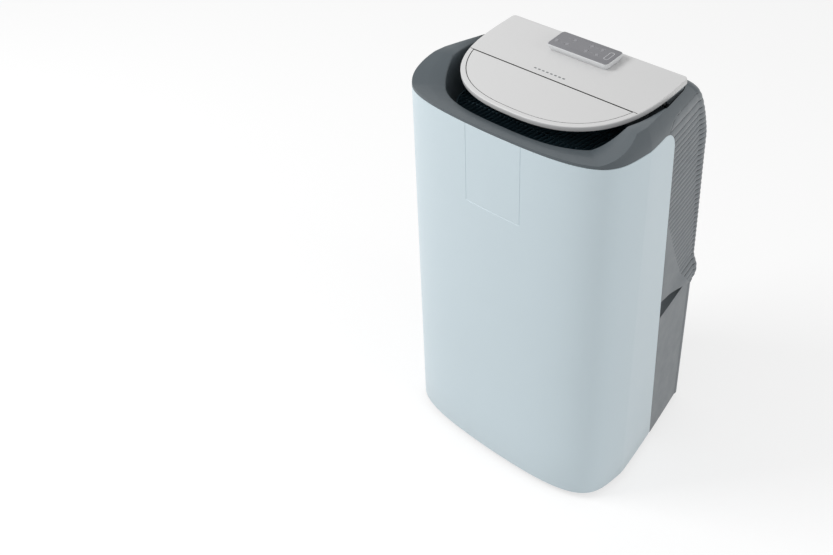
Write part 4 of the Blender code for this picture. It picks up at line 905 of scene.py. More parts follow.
def lip_edge_z(y):
    """The height of the hood's lower edge, which rises over the hand grip towards the front."""
    share = (GRIP_END_Y - y) / (GRIP_END_Y - EDGE_Y_LOW)
    rise = (GRIP_TOP - GRIP_FLOOR) * max(share, 0.0) ** 0.6
    return GRIP_FLOOR + rise - (GRIP_FLOOR - LIP_LOW) * smooth_step((y - GRIP_END_Y) / (BACK_Y - GRIP_END_Y))


def lip_flare(y, z):
    """How far the hood's lower lip swells outwards."""
    if z >= LIP_TOP:
        return 0.0
    span = LIP_TOP - LIP_PEAK if z > LIP_PEAK else LIP_PEAK - LIP_LOW + 0.004
    swell = 0.5 + 0.5 * cos(pi * min(abs(z - LIP_PEAK) / span, 1))
    return LIP * swell * smooth_step((y - EDGE_Y_LOW - 0.01) / 0.09)


def mirrored(half):
    """A row of columns from the left, given those from the middle to the right."""
    left = [[(-p[0], p[1], p[2]) for p in column] for column in reversed(half[1:])]
    return left + half


# ---------------------------------------------------------------- outer skins
def corner_rows(steps):
    """Heights that close up towards the top of the panel's rounded corner."""
    return [PANEL_TOP - FRAME_GAP - EDGE_ROUND_Z * (1 - sin(pi / 2 * i / steps)) for i in range(steps + 1)]


def on_inlay(x, z, settings):
    """How much of the inlay's line lies at this place of the panel."""
    inside = settings.inlay_left - INLAY_REACH < x < settings.inlay_right + INLAY_REACH
    upright = min(abs(x - settings.inlay_left), abs(x - settings.inlay_right)) < INLAY_REACH
    level = abs(z - settings.inlay_low) < INLAY_REACH and inside
    return float(level or (upright and z > settings.inlay_low - INLAY_REACH))


def make_front_panel():
    """The pale panel that wraps round the front and the sides, with the inlaid line at its top."""
    settings = bpy.context.scene.cooler_panel
    across_line = [k * INLAY_LINE / 2 for k in (-2, -1, 0, 1, 2)]
    heights = [BODY_BOTTOM, BODY_BOTTOM + 0.0004, BODY_BOTTOM + 0.0015, 0.10, 0.20, 0.30, 0.40, 0.48]
    heights += [settings.inlay_low + step for step in across_line]
    heights += [0.60, 0.64] + corner_rows(18)[:-1]
    heights += [PANEL_TOP - 0.0012, PANEL_TOP - FRAME_GAP]
    heights = sorted(set(heights))
    side_steps, front_steps = 14, 46
    spots = {front_point(i / front_steps, 0.0)[0] for i in range(front_steps + 1)}
    xs = spots | {-x for x in spots}
    for edge in (settings.inlay_left, settings.inlay_right):
        clear = {x for x in xs if abs(x - edge) > 0.0015}
        xs = clear | {edge + step for step in across_line}

    def columns(inset):
        right, left = [], []
        for i in range(1, side_steps + 1):
            column = []
            for z in heights:
                y = CORNER_Y + (panel_edge_y(z) - CORNER_Y) * i / side_steps
                column.append((half_width(y, inset + rim(z, inset)), y, z))
            right.append(column)
            left.append([(-x, y, z) for x, y, z in column])
        bow = []
        for x in sorted(xs):
            column = []
            for z in heights:
                shrink = inset + rim(z, inset)
                squeezed = x * (WIDTH / 2 - shrink) / (WIDTH / 2)
                groove = on_inlay(x, z, settings) * settings.inlay_depth * (inset == 0)
                column.append((squeezed, bow_y(squeezed, shrink) + groove, z))
            bow.append(column)
        return left[::-1] + bow + right

    def rim(z, inset):
        """The panel's top and bottom edges are slightly rounded on the outside."""
        if inset:
            return 0.0
        return {heights[0]: 0.0010, heights[1]: 0.0004, heights[-1]: 0.0012, heights[-2]: 0.0004}.get(z, 0.0)

    panel = skin("wrap_front_panel", columns(0.0), columns(WALL))
    hand_over(panel, "body", "panel_white", ["front_panel"])


def groove_heights(pitch):
    """The grooves' heights from the top down: those over the shoulder, then the evenly spaced ones."""
    lowest = TOP_GROOVES[-1]
    return list(TOP_GROOVES) + [lowest - pitch * (i + 1) for i in range(LEVEL_GROOVES)]


def wall_rows(grooves):
    """The hood's level rows: close together at each groove, with one row on the middle of each land."""
    rows = [INTAKE[2], INTAKE[3]]
    for high, low in zip(grooves, grooves[1:]):
        rows += [low, low + 0.0008, low + 0.0018, (low + high) / 2, high - 0.0018, high - 0.0008]
    rows += [grooves[0], LIP_LOW + 0.006, LIP_LOW + 0.012]
    return sorted(rows)


def nearest_groove(y, z, grooves):
    """Distance to the nearest groove, and half the height of the land that the point is on."""
    gaps = [abs(z - g) for g in grooves]
    nearest = min(range(len(gaps)), key=gaps.__getitem__)
    distance = gaps[nearest] if nearest or y > FIRST_GROOVE[-1][1] else 1.0
    for (low, y_low), (high, y_high) in zip(FIRST_GROOVE, FIRST_GROOVE[1:]):
        a, b, p = Vector((y_low, low)), Vector((y_high, high)), Vector((y, z))
        t = min(max((p - a).dot(b - a) / (b - a).length_squared, 0), 1)
        distance = min(distance, (p - a - (b - a) * t).length)
    other = nearest + (1 if z < grooves[nearest] else -1)
    other = min(max(other, 0), len(grooves) - 1)
    return distance, max(abs(grooves[other] - grooves[nearest]) / 2, 0.004)


def hood_start_y(z):
    """Where the hood begins behind the panel, and above it behind the first groove."""
    edge = panel_edge_y(min(z, PANEL_TOP)) + SEAM
    return max(edge, between(z, FIRST_GROOVE)) if z > FIRST_GROOVE[0][0] else edge


HOOD_COLUMNS = {"sides": 56, "corners": 9, "backs": 3}


def hood_columns(rows_at, inset, flared):
    """Columns of points round the back, from the left edge of the panel to the right one."""
    total = HOOD_COLUMNS["sides"] + HOOD_COLUMNS["corners"] + HOOD_COLUMNS["backs"] + 1
    count = len(rows_at(BACK_Y))
    half = []
    for i in range(total - 1, -1, -1):
        column = []
        for row in range(count):
            z = LEAN_START
            for _ in range(3):
                x, y = rear_point(i, z, hood_start_y(z), inset, **HOOD_COLUMNS)
                z = rows_at(y)[row]
            flare = lip_flare(y, z) if flared else 0.0
            x, y = rear_point(i, z, hood_start_y(z), inset - flare, **HOOD_COLUMNS)
            column.append((0.0 if i == total - 1 else x, y, z))
        half.append(column)
    return mirrored(half)


def make_hood():
    """The ribbed hood, with a window for the intake grille."""
    settings = bpy.context.scene.cooler_ribs
    grooves = groove_heights(settings.pitch)
    levels = wall_rows(grooves)
    rows_memo = {}

    def rows_at(y):
        key = round(y, 5)
        if key not in rows_memo:
            rows_memo[key] = [max(z, lip_edge_z(y)) for z in levels]
        return rows_memo[key]

    outer = hood_columns(rows_at, 0.0, True)
    inner = hood_columns(rows_at, SKIN_WALL, True)
    low_row = levels.index(INTAKE[2])
    high_row = levels.index(INTAKE[3])
    middle = len(outer) // 2
    reach = HOOD_COLUMNS["backs"] - 1

    def window(i, j):
        return middle - reach <= i < middle + reach and low_row <= j < high_row

    hood = skin("ribbed_hood", outer, inner, left_out=window)
    count = len(outer) * len(outer[0])
    distances, gaps, ribbed, outward = [], [], [], []
    for i, column in enumerate(outer):
        before = outer[max(i - 1, 0)]
        after = outer[min(i + 1, len(outer) - 1)]
        for j, (x, y, z) in enumerate(column):
            distance, half_gap = nearest_groove(y, z, grooves)
            distances.append(distance)
            gaps.append(half_gap)
            behind_start = smooth_step((y - between(z, RIB_START)) / 0.006 + 0.5)
            ribbed.append(behind_start if z < RIB_START[0][0] else 1.0)
            run = Vector(after[j]) - Vector(before[j])
            side = Vector((-run.y, run.x, 0)).normalized()
            outward.extend(side if side.dot(Vector((x, y - CORNER_Y, 0))) > 0 else -side)
    padding = [0.0] * count  # the inner wall, which has no grooves
    for name, values in (("groove_distance", distances + padding), ("half_gap", gaps + [1.0] * count),
                         ("ribbed", ribbed + padding)):
        hood.data.attributes.new(name, "FLOAT", "POINT").data.foreach_set("value", values)
    vectors = hood.data.attributes.new("outward", "FLOAT_VECTOR", "POINT")
    vectors.data.foreach_set("vector", outward + padding * 3)
    # The groove floors take the darker groove finish as painted shade.
    grown(hood, grooves_tree, "hood_grey", Depth=settings.depth, Half_width=settings.half_width,
          Crown=settings.crown, Floor_width=GROOVE_SHADE_REACH, Floor_material=finish_of("groove"))
    for attribute in ("groove_distance", "half_gap", "ribbed", "outward"):
        hood.data.attributes.remove(hood.data.attributes[attribute])
    hand_over(hood, "body", "hood_grey", ["upper_rear_shell"], angle=60)


def make_lower_shell():
    """The plain shell below the hand grips, with openings for the grille, port, drain and lead."""
    level = [BODY_BOTTOM, BODY_BOTTOM + 0.0008, 0.05, LOWER[2], 0.13, 0.17, 0.21, LOWER[3], 0.28]

    def rows_at(y):
        top = min(GRIP_FLOOR, lip_edge_z(y) - SEAM)
        return level[:-1] + [min(level[-1], top - 0.003), top - 0.0010, top]

    outer = hood_columns(rows_at, 0.0, False)
    inner = hood_columns(rows_at, SKIN_WALL, False)
    shell = skin("lower_back_shell", outer, inner)
    openings = [rectangle(*LOWER), circle(PORT, PORT_RADIUS + PORT_WALL + GAP, 96)]
    openings += [circle(centre, HOLE_RADIUS, 40) for centre in (DRAIN, GLAND)]
    for opening in openings:
        cut(shell, prism("opening", opening, "Y", BACK_Y - 0.02, BACK_Y + 0.02))
    hand_over(shell, "body", "hood_grey", ["lower_rear_shell"])


def make_grips():
    """The hand grips' liners: a smooth scoop behind the gap between the two rear shells."""
    start_y, end_y, steps, overlap = 0.0375, GRIP_END_Y - 0.002, 30, 0.0006
    ys = [start_y + (end_y - start_y) * i / steps for i in range(steps + 1)]
    shape = [(y, lip_edge_z(y) + overlap) for y in ys] + [(y, GRIP_FLOOR - overlap) for y in reversed(ys)]
    centre = (0.080, 0.317)
    # Share of the opening's outline that is left, and how deep the scoop is there
    scoop = ((1.0, 0.0029), (0.985, 0.008), (0.95, 0.014), (0.87, 0.020), (0.72, 0.0245), (0.45, 0.0272),
             (0.05, 0.0280))

    def columns(side, grow, deeper):
        made = []
        for y, z in shape:
            column = []
            for share, depth in scoop:
                at_y = centre[0] + (y - centre[0]) * share * grow
                at_z = centre[1] + (z - centre[1]) * share * grow
                column.append((side * (half_width(at_y) - depth - deeper), at_y, at_z))
            made.append(column)
        return made

    for side, end in ((1, "right"), (-1, "left")):
        liner = skin(f"grip_liner_{end}", columns(side, 1.0, 0.0), columns(side, 1.02, 0.0014), closed=True)
        hand_over(liner, "body", "hood_grey", [f"grip_cup_{end}"], angle=40)


def crest_height(y):
    """The height of the deck's crest: low at the front, rising along the cheeks to the back."""
    share = min(max((y - FRONT_Y - 0.030) / (CREASE_Y - FRONT_Y - 0.030), 0.0), 1.0)
    cheek = RING_Z + (CHEEK_Z - RING_Z) * share
    return cheek + (CREST_TOP - cheek) * smooth_step((y - CREST_Y) / 0.045)


def mouth_point(angle, inset=0.0):
    """A point of the outlet's mouth, seen from its middle at this angle."""
    half, front = MOUTH_HALF - inset, MOUTH_FRONT - inset
    c, s = cos(angle), sin(angle)
    reach = ((abs(c) / half) ** MOUTH_POWER + (abs(s) / front) ** MOUTH_POWER) ** (-1 / MOUTH_POWER)
    if s > 0:
        reach = min(reach, (MOUTH_BACK_Y - inset - MOUTH_Y) / s)
    return Vector((reach * c, MOUTH_Y + reach * s))


DECK_COLUMNS = {"sides": 84, "corners": 10, "backs": 5}
DECK_FRONT = 44


def deck_outline_point(i, z, inset):
    """Point i of the whole outline, from the front's middle round the right side to the back's middle."""
    if i < DECK_FRONT:
        return front_point(i / DECK_FRONT, inset + round_in(z))
    return rear_point(i - DECK_FRONT, z, CORNER_Y, inset, **DECK_COLUMNS)


def deck_foot(y):
    """The deck's lower edge: along the panel's top, down its rounded corner, then along the first groove."""
    low = PANEL_TOP + FRAME_GAP
    if y <= panel_edge_y(PANEL_TOP - FRAME_GAP):
        return low
    line = [(at_y, z) for z, at_y in FIRST_GROOVE]
    if y >= line[0][0]:
        return between(y, line)
    z_low, z_high = 0.66, PANEL_TOP
    for _ in range(24):
        z = (z_low + z_high) / 2
        z_low, z_high = (z, z_high) if panel_edge_y(z) + SEAM > y else (z_low, z)
    return z_low + 0.0006


def deck_column(i, thickness):
    """One section of the deck, from its foot up over the crest and the ledge and down into the outlet."""
    low_point = deck_outline_point(i, PANEL_TOP + FRAME_GAP, 0.0)
    angle = atan2(low_point[1] - MOUTH_Y, low_point[0])
    behind = smooth_step((low_point[1] - MOUTH_BACK_Y + 0.030) / 0.034)
    crest = crest_height(low_point[1])
    foot = deck_foot(low_point[1])
    groove = 0.0018 * smooth_step((low_point[1] - FIRST_GROOVE[0][1]) / 0.004)
    heights = [foot, foot + 0.0008, foot + 0.0019]
    heights += [heights[2] + (crest - heights[2]) * sin(pi / 2 * k / 9) for k in range(1, 10)]
    rows = []
    for k, z in enumerate(heights):
        share = 0.0 if k < 3 else sin(pi / 2 * (k - 2) / 9)
        inset = thickness if thickness else groove * (1.0, 0.42, 0.0)[min(k, 2)]
        x, y = deck_outline_point(i, z - thickness * share, inset)
        rows.append((x, y, z - thickness * share))
    mouth = mouth_point(angle, -thickness)
    top = Vector(rows[-1][:2])
    ledge_share = 0.5 + (0.06 - 0.5) * behind
    ledge = top.lerp(mouth, ledge_share if not thickness else ledge_share * 0.9)
    ledge_z = crest - 0.001 + (LAND_Z - crest + 0.001) * behind
    mouth_z = crest - 0.004 + (LAND_Z - crest + 0.004) * behind
    rows.append((*ledge, ledge_z - thickness))
    rows.append((*mouth, mouth_z - thickness))
    rows.append((*mouth_point(angle, THROAT_IN - thickness), THROAT_Z))
    end = len(rows) - 1
    cuts = {end - 3: 0.0022, end - 2: 0.0035, end - 1: 0.0024}
    return [tuple(p) for p in filleted(rows, cuts)]


def make_deck():
    """The deck round the air outlet, one closed band of sections."""
    count = DECK_FRONT + sum(DECK_COLUMNS.values()) + 1

    def columns(thickness):
        half = [deck_column(i, thickness) for i in range(count)]
        half[0] = [(0.0, y, z) for _, y, z in half[0]]
        half[-1] = [(0.0, y, z) for _, y, z in half[-1]]
        left = [[(-x, y, z) for x, y, z in column] for column in reversed(half[1:-1])]
        return half + left

    deck = skin("outlet_deck", columns(0.0), columns(SKIN_WALL), closed=True)
    hand_over(deck, "body", "deck_grey", ["top_deck"], angle=38)


# ---------------------------------------------------------------- air outlet
def throat_outline(inset, steps=120):
    """The outlet's throat, smaller by this much all round."""
    return [tuple(mouth_point(2 * pi * i / steps, THROAT_IN + inset)) for i in range(steps)]


def make_outlet_fins():
    """The fins across the outlet, trimmed to its throat, with a ring and two bars that hold them."""
    settings = bpy.context.scene.cooler_outlet
    pitch, thick = settings.fin_pitch, settings.fin_thick
    count = int(2 * (MOUTH_HALF - THROAT_IN) / pitch)
    first = -(count - 1) / 2 * pitch
    low, high = THROAT_Z, THROAT_Z + 0.0068
    edge = thick / 2
    blade = [(first - edge, low), (first + edge, low), (first + edge, high - 0.0008),
             (first + edge / 3, high), (first - edge / 3, high), (first - edge, high - 0.0008)]
    fins = prism("outlet_fins", blade, "Y", MOUTH_Y - MOUTH_FRONT, MOUTH_BACK_Y)
    grown(fins, row_tree, "outlet_fin", Count=count, Step=(pitch, 0, 0))
    inside = prism("inside", throat_outline(0.0022), "Z", low - 0.01, high + 0.01)
    combine(fins, inside, "INTERSECT")
    parts = [fins, closed_ring("outlet_ring", throat_outline(0.0005), throat_outline(0.0026), low, high)]
    for y in BAR_YS:
        section = rectangle(y - 0.001, y + 0.001, low, high - 0.0026)
        parts.append(prism("bar", section, "X", -BAR_HALF, BAR_HALF))
    grille = merge("outlet_fin_grille", parts)
    grille.data.materials.append(finish_of("outlet_fin"))
    hand_over(grille, "body", "dark_plastic", ["outlet_grille"])


# ---------------------------------------------------------------- lid
def lid_bow(half, reach, start, steps=40):
    """The right half of the lid's bowed front, from an angle at its side to its middle."""
    bow = []
    for i in range(steps + 1):
        angle = start + (pi / 2 - start) * i / steps
        x = half * max(cos(angle), 0.0) ** (2 / LID_POWER)
        bow.append((x, LID_MID_Y - reach * sin(angle) ** (2 / LID_POWER)))
    bow[-1] = (0.0, bow[-1][1])
    return bow


def both_sides(right):
    """A whole outline, given its right half from back to front."""
    return (right + [(-x, y) for x, y in reversed(right[:-1])])[::-1]


def lid_outline(inset=0.0, back=LID_BACK_Y):
    """The lid's outline, smaller by this much all round."""
    half = LID_HALF - inset
    radius = LID_BACK_RADIUS - min(inset, LID_BACK_RADIUS / 2)
    corner_x = half - 0.0015 - radius
    angles = [pi / 2 * i / 8 for i in range(9)]
    corner = [(corner_x + radius * sin(angle), back - radius + radius * cos(angle)) for angle in angles]
    return both_sides(corner + lid_bow(half, LID_LENGTH - inset, 0.0))


def cover_outline(inset=0.0):
    """The control cover's outline, smaller by this much all round."""
    half, reach = LID_HALF - COVER_INSET - inset, LID_LENGTH - COVER_INSET - inset
    start = asin(((LID_MID_Y - COVER_BACK_Y + inset) / reach) ** (LID_POWER / 2))
    return both_sides(lid_bow(half, reach, start))


def darken_gap(obj, in_gap):
    """Paints shade onto the walls of a narrow gap, which never catch the light, with a dark finish."""
    clean(obj)
    for slot in ("lid_white", "gap_shadow"):
        obj.data.materials.append(finish_of(slot))
    for face in obj.data.polygons:
        face.material_index = int(in_gap(face))


def in_cover_pocket(point):
    """Whether a point of the lid lies in the pocket that the control cover fills."""
    half, reach = LID_HALF - COVER_INSET + 0.0008, LID_LENGTH - COVER_INSET + 0.0008
    ahead = max(LID_MID_Y - point.y, 0.0)
    inside = (abs(point.x) / half) ** LID_POWER + (ahead / reach) ** LID_POWER < 1
    return inside and point.y < COVER_BACK_Y + 0.0016 and point.z > LID_TOP - 0.0030


def make_lid():
    """The lid with its hollow underside, and the control cover let into its top."""
    bottom, sheet = LID_TOP - LID_THICK, LID_TOP - LID_SHEET
    edge = 0.0018
    loops = [at_height(lid_outline(0.0012), bottom), at_height(lid_outline(0.0004), bottom + 0.0005),
             at_height(lid_outline(), bottom + 0.0014)]
    for k in range(6):
        angle = pi / 2 * k / 5
        loops.append(at_height(lid_outline(edge * (1 - cos(angle)) if k else 0.00001),
                               LID_TOP - edge + edge * sin(angle)))
    lid = loft("lid_top", loops)
    cut(lid, prism("hollow", lid_outline(WALL, LID_BACK_Y - WALL), "Z", bottom - 0.01, sheet))
    cut(lid, prism("pocket", cover_outline(-0.0002), "Z", LID_TOP - COVER_THICK - GAP, LID_TOP + 0.01))
    cut(lid, prism("slot", rectangle(-0.176, 0.176, COVER_BACK_Y - 0.0002, COVER_BACK_Y + 0.0010), "Z",
                   LID_TOP - 0.0024, LID_TOP + 0.01))
    # Painted shade on the floor and walls of the cover's pocket and of the slot.
    darken_gap(lid, lambda face: face.center.z < LID_TOP - 0.0002 and in_cover_pocket(face.center))
    place(lid, LID_PLACE)
    hand_over(lid, "lid", "lid_white", ["lid_panel"])

    # How far each loop of the cover stands in from its pocket, and how far below the lid's top
    cover_loops = ((0.0010, COVER_THICK), (0.0010, 0.0006), (0.0012, 0.0002), (0.0017, 0.0001))
    cover = loft("lid_control_cover",
                 [at_height(cover_outline(inset), LID_TOP - depth) for inset, depth in cover_loops])
    # Painted shade on the cover's upright edges, which face the gap.
    darken_gap(cover, lambda face: abs(face.normal.z) < 0.3)
    place(cover, LID_PLACE)
    hand_over(cover, "lid", "lid_white", ["control_cover"])


def make_lid_marks():
    """A row of plain dashes behind the slot, in place of any lettering."""
    settings = bpy.context.scene.cooler_lid
    first = -(settings.dash_count - 1) / 2 * settings.dash_pitch - 0.010
    outline = rounded(0.0025, 0.0014, 0.0005, (first, COVER_BACK_Y + 0.0125), 3)
    dash = prism("lid_dashes", outline, "Z", LID_TOP - 0.0003, LID_TOP + 0.00006)
    grown(dash, row_tree, "grey_print", Count=settings.dash_count, Step=(settings.dash_pitch, 0, 0))
    place(dash, LID_PLACE)
    hand_over(dash, "lid", "lid_white", finish=finish_of("grey_print"))


def make_lid_webs():
    """The grey webs under the lid's two rear edges, which carry its arms, in the hood's grey brightened as
    painted light.
    """
    for side, end in ((1, "right"), (-1, "left")):
        near, far = sorted(side * x for x in WEB_FACES)
        plate = soften(prism(f"lid_web_{end}", WEB_OUTLINE, "X", near, far), 0.0007, 3)
        # The brightened web finish is painted light against the shade under the lid.
        hand_over(plate, "lid", "deck_grey", finish=finish_of("web_grey"))


# ---------------------------------------------------------------- remote control
def remote_outline(shrink):
    """The remote control's outline, smaller by this much all round."""
    return rounded(REMOTE_HALF[0] - shrink, REMOTE_HALF[1] - shrink, REMOTE_RADIUS - shrink / 2,
                   (REMOTE_X, REMOTE_MIDDLE_Y))


def make_remote():
    """The remote control's case, face and battery door."""
    top, face_margin = REMOTE_TOP, 0.0009
    loops = [at_height(remote_outline(shrink), REMOTE_BASE + rise) for shrink, rise in
             ((0.0044, 0.0), (0.0034, 0.0004), (0.0028, 0.0020), (0.0024, 0.0042), (0.0012, 0.0050),
              (0.0003, 0.0057), (0.0, 0.0066))]
    loops.append(at_height(remote_outline(0), top - 0.0012))
    for k in range(1, 5):
        angle = pi / 2 * k / 4
        loops.append(at_height(remote_outline(0.0007 * (1 - cos(angle))), top - 0.0007 + 0.0007 * sin(angle)))
    case = loft("remote_shell", loops)
    cut(case, prism("pocket", remote_outline(face_margin), "Z", top - 0.0033, top + 0.01))
    end = REMOTE_X + REMOTE_HALF[0]
    low, high = REMOTE_Y - 0.0134, REMOTE_Y + 0.0134
    cut(case, prism("battery", rectangle(end - 0.0424, end + 0.01, low, high), "Z", REMOTE_BASE - 0.01,
                    REMOTE_BASE + 0.0018))
    place(case, LID_PLACE)
    hand_over(case, "remote", "remote_white", ["remote_case"])

    edge = remote_outline(face_margin + GAP)
    inner_edge = remote_outline(face_margin + GAP + 0.0004)
    face = loft("remote_keypad", [at_height(edge, top - 0.0015), at_height(edge, FACE_TOP - 0.0003),
                                  at_height(inner_edge, FACE_TOP)])
    for x, y in BUTTONS.values():
        hole = circle((REMOTE_X + x, REMOTE_Y + y), 0.0042, 40)
        cut(face, prism("hole", hole, "Z", top - 0.01, top + 0.01))
    place(face, LID_PLACE)
    hand_over(face, "remote", "remote_grey", ["remote_face"])

    door = rectangle(end - 0.042, end - 0.003, REMOTE_Y - 0.013, REMOTE_Y + 0.013)
    cover = prism("remote_battery_door", door, "Z", REMOTE_BASE, REMOTE_BASE + 0.0014)
    arrow = [(end - 0.036, REMOTE_Y - 0.004), (end - 0.030, REMOTE_Y), (end - 0.036, REMOTE_Y + 0.004)]
    cut(cover, prism("arrow", arrow, "Z", REMOTE_BASE - 0.001, REMOTE_BASE + 0.0005))
    soften(cover, 0.00025, 2)
    place(cover, LID_PLACE)
    hand_over(cover, "battery_cover", "remote_white", ["remote_battery_cover"])


def make_remote_marks():
    """Thin rings round the keys, plain bars beside them and a rounded outline, printed on the face."""
    low, high = FACE_TOP - 0.0002, FACE_TOP + 0.00005
    marks = []
    for x, y in BUTTONS.values():
        centre = (REMOTE_X + x, REMOTE_Y + y)
        marks.append(closed_ring("ring", circle(centre, 0.0050, 40), circle(centre, 0.0046, 40), low, high))
    for x, y in ((-0.040, 0.0085), (0.019, 0.0085), (-0.043, -0.0070), (0.019, -0.0070)):
        bar = rounded(0.0022, 0.00035, 0.0002, (REMOTE_X + x, REMOTE_Y + y), 2)
        marks.append(prism("bar", bar, "Z", low, high))
    rings = place(merge("remote_rings", marks), LID_PLACE)
    hand_over(rings, "remote", "remote_grey", finish=finish_of("mid_print"))
    outer = rounded(0.0046, 0.0108, 0.0030, (REMOTE_X + 0.0500, REMOTE_Y), 6)
    inner = rounded(0.0038, 0.0100, 0.0022, (REMOTE_X + 0.0500, REMOTE_Y), 6)
    outline = place(closed_ring("remote_outline", outer, inner, low, high), LID_PLACE)
    hand_over(outline, "remote", "remote_grey", finish=finish_of("pale_print"))


def make_buttons():
    """The remote control's keys, each with a shallow dish in its top."""
    low = REMOTE_TOP - 0.0033 + 0.0008
    section = ((0.0038, low), (0.0038, BUTTON_TOP - 0.0005), (0.0037, BUTTON_TOP - 0.0002),
               (0.0034, BUTTON_TOP), (0.0026, BUTTON_TOP - 0.00005), (0.0014, BUTTON_TOP - 0.0002),
               (0.0004, BUTTON_TOP - 0.00025))
    for name, (x, y) in BUTTONS.items():
        centre = (REMOTE_X + x, REMOTE_Y + y)
        loops = [at_height(circle(centre, radius, 40), z) for radius, z in section]
        key = place(loft(f"key_{name}", loops), LID_PLACE)
        hand_over(key, f"button_{name}", "button_grey", [f"remote_button_{name}"], angle=50)


# ---------------------------------------------------------------- rear fittings
def louvred(name, left, right, height, columns, front=-0.0035, back=-0.0002):
    """A grille plate in its own upright frame: a border, upright bars and sloping slats."""
    settings = bpy.context.scene.cooler_outlet
    border, bar = 0.0095, 0.0045
    frame_piece = prism("border", rectangle(left + SEAM, right - SEAM, SEAM, height - SEAM), "Y", front, back)
    cut(frame_piece, prism("inside", rectangle(left + border, right - border, border, height - border), "Y",
                           front - 0.01, back + 0.01))
    soften(frame_piece, 0.0005, 2)
    pitch = settings.slat_pitch
    count = int((height - 2 * border) / pitch)
    start = (height - count * pitch) / 2 + 0.0012
    slope = [(front, start), (front, start + 0.0014), (back - 0.0008, start + 0.0050), (back, start + 0.0048),
             (back, start + 0.0036), (front + 0.0008, start)]
    slat = prism("slat", slope, "X", left + border - 0.001, right - border + 0.001)
    grown(slat, row_tree, "hood_grey", Count=count, Step=(0, 0, pitch))
    parts = [frame_piece, slat]
    for k in range(1, columns):
        x = left + border + (right - left - 2 * border) * k / columns
        section = rectangle(x - bar / 2, x + bar / 2, border - 0.001, height - border + 0.001)
        parts.append(prism("bar", section, "Y", front, back - 0.0006))
    return merge(name, parts)


def make_grilles():
    """The intake grille, which leans with the hood and pulls off, and the fixed lower one."""
    left, right, low, high = INTAKE
    grille = louvred("intake_louvres", left, right, high - low, 3)
    tab = soften(prism("tab", rectangle(-0.014, 0.014, high - low - 0.0085, high - low - 0.0035), "Y",
                       -0.0020, 0.0016), 0.0006, 2)
    grille = merge("intake_louvres", [grille, tab])
    lean = atan2(LEAN, SHOULDER_START - LEAN_START)
    place(grille, Matrix.Translation((0, back_y(low), low)) @ Matrix.Rotation(lean, 4, "X"))
    hand_over(grille, "intake_grille", "hood_grey", ["intake_grille"])
    left, right, low, high = LOWER
    lower = louvred("lower_louvres", left, right, high - low, 2)
    place(lower, Matrix.Translation((0, BACK_Y, low)))
    hand_over(lower, "body", "hood_grey", ["lower_grille"])


def make_port():
    """The collar that the exhaust hose turns into, with four lugs inside."""
    outer = PORT_RADIUS + PORT_WALL
    back = BACK_Y + LIP - 0.0008
    profile = [(PORT_RADIUS, 0.1505), (outer, 0.1505), (outer, BACK_Y + GAP), (outer + 0.010, BACK_Y + GAP),
               (outer + 0.010, BACK_Y + 0.0019), (outer + 0.0094, BACK_Y + 0.0025),
               (outer + 0.0026, BACK_Y + 0.0030),
               (outer + 0.0017, BACK_Y + 0.0040), (outer + 0.0015, back - 0.0006), (outer + 0.0009, back),
               (PORT_RADIUS + 0.0006, back), (PORT_RADIUS, back - 0.0006)]
    collar = turned("port_collar", "Y", PORT, profile, 120)
    section = [(PORT_RADIUS - 0.0016, -0.004), (PORT_RADIUS + 0.0002, -0.005),
               (PORT_RADIUS + 0.0002, 0.005), (PORT_RADIUS - 0.0016, 0.004)]
    lug = prism("lug", section, "Z", 0.0, 0.0032)
    grown(lug, ring_tree, "dark_plastic", Count=4)
    place(lug, Matrix.Translation((PORT[0], BACK_Y - 0.004, PORT[1])) @ Matrix.Rotation(radians(-90), 4, "X"))
    hand_over(merge("port_collar_with_lugs", [collar, lug]), "body", "dark_plastic", ["exhaust_collar"])


def make_plug_and_gland():
    """The ribbed drain bung and the gland where the mains lead would leave."""
    plug_profile = [(0.0001, BACK_Y - 0.018), (0.0050, BACK_Y - 0.018), (0.0056, BACK_Y - 0.014),
                    (0.0052, BACK_Y - 0.011), (0.0056, BACK_Y - 0.008), (0.0052, BACK_Y - 0.005),
                    (0.0056, BACK_Y - 0.003), (0.0056, BACK_Y + GAP), (0.0105, BACK_Y + GAP),
                    (0.0105, BACK_Y + 0.0034), (0.0098, BACK_Y + 0.0041), (0.0082, BACK_Y + 0.0042),
                    (0.0078, BACK_Y + 0.0030), (0.0001, BACK_Y + 0.0028)]
    plug = turned("plug", "Y", DRAIN, plug_profile, 56)
    section = rectangle(DRAIN[0] - 0.0076, DRAIN[0] + 0.0076, DRAIN[1] - 0.0013, DRAIN[1] + 0.0013)
    grip = soften(prism("grip", section, "Y", BACK_Y + 0.002, BACK_Y + 0.0060), 0.0005, 2)
    hand_over(merge("drain_bung", [plug, grip]), "drain_plug", "rubber", ["drain_plug"])
    gland_profile = [(0.0038, BACK_Y - 0.012), (0.0084, BACK_Y - 0.012), (0.0084, BACK_Y + GAP),
                     (0.0125, BACK_Y + GAP), (0.0125, BACK_Y + 0.0022), (0.0118, BACK_Y + 0.0030),
                     (0.0092, BACK_Y + 0.0038), (0.0090, BACK_Y + 0.0046), (0.0082, BACK_Y + 0.0050),
                     (0.0080, BACK_Y + 0.0060), (0.0070, BACK_Y + 0.0070), (0.0042, BACK_Y + 0.0070),
                     (0.0038, BACK_Y + 0.0066)]
    gland = turned("lead_gland", "Y", GLAND, gland_profile, 56)
    hand_over(gland, "body", "dark_plastic", ["cord_gland"])


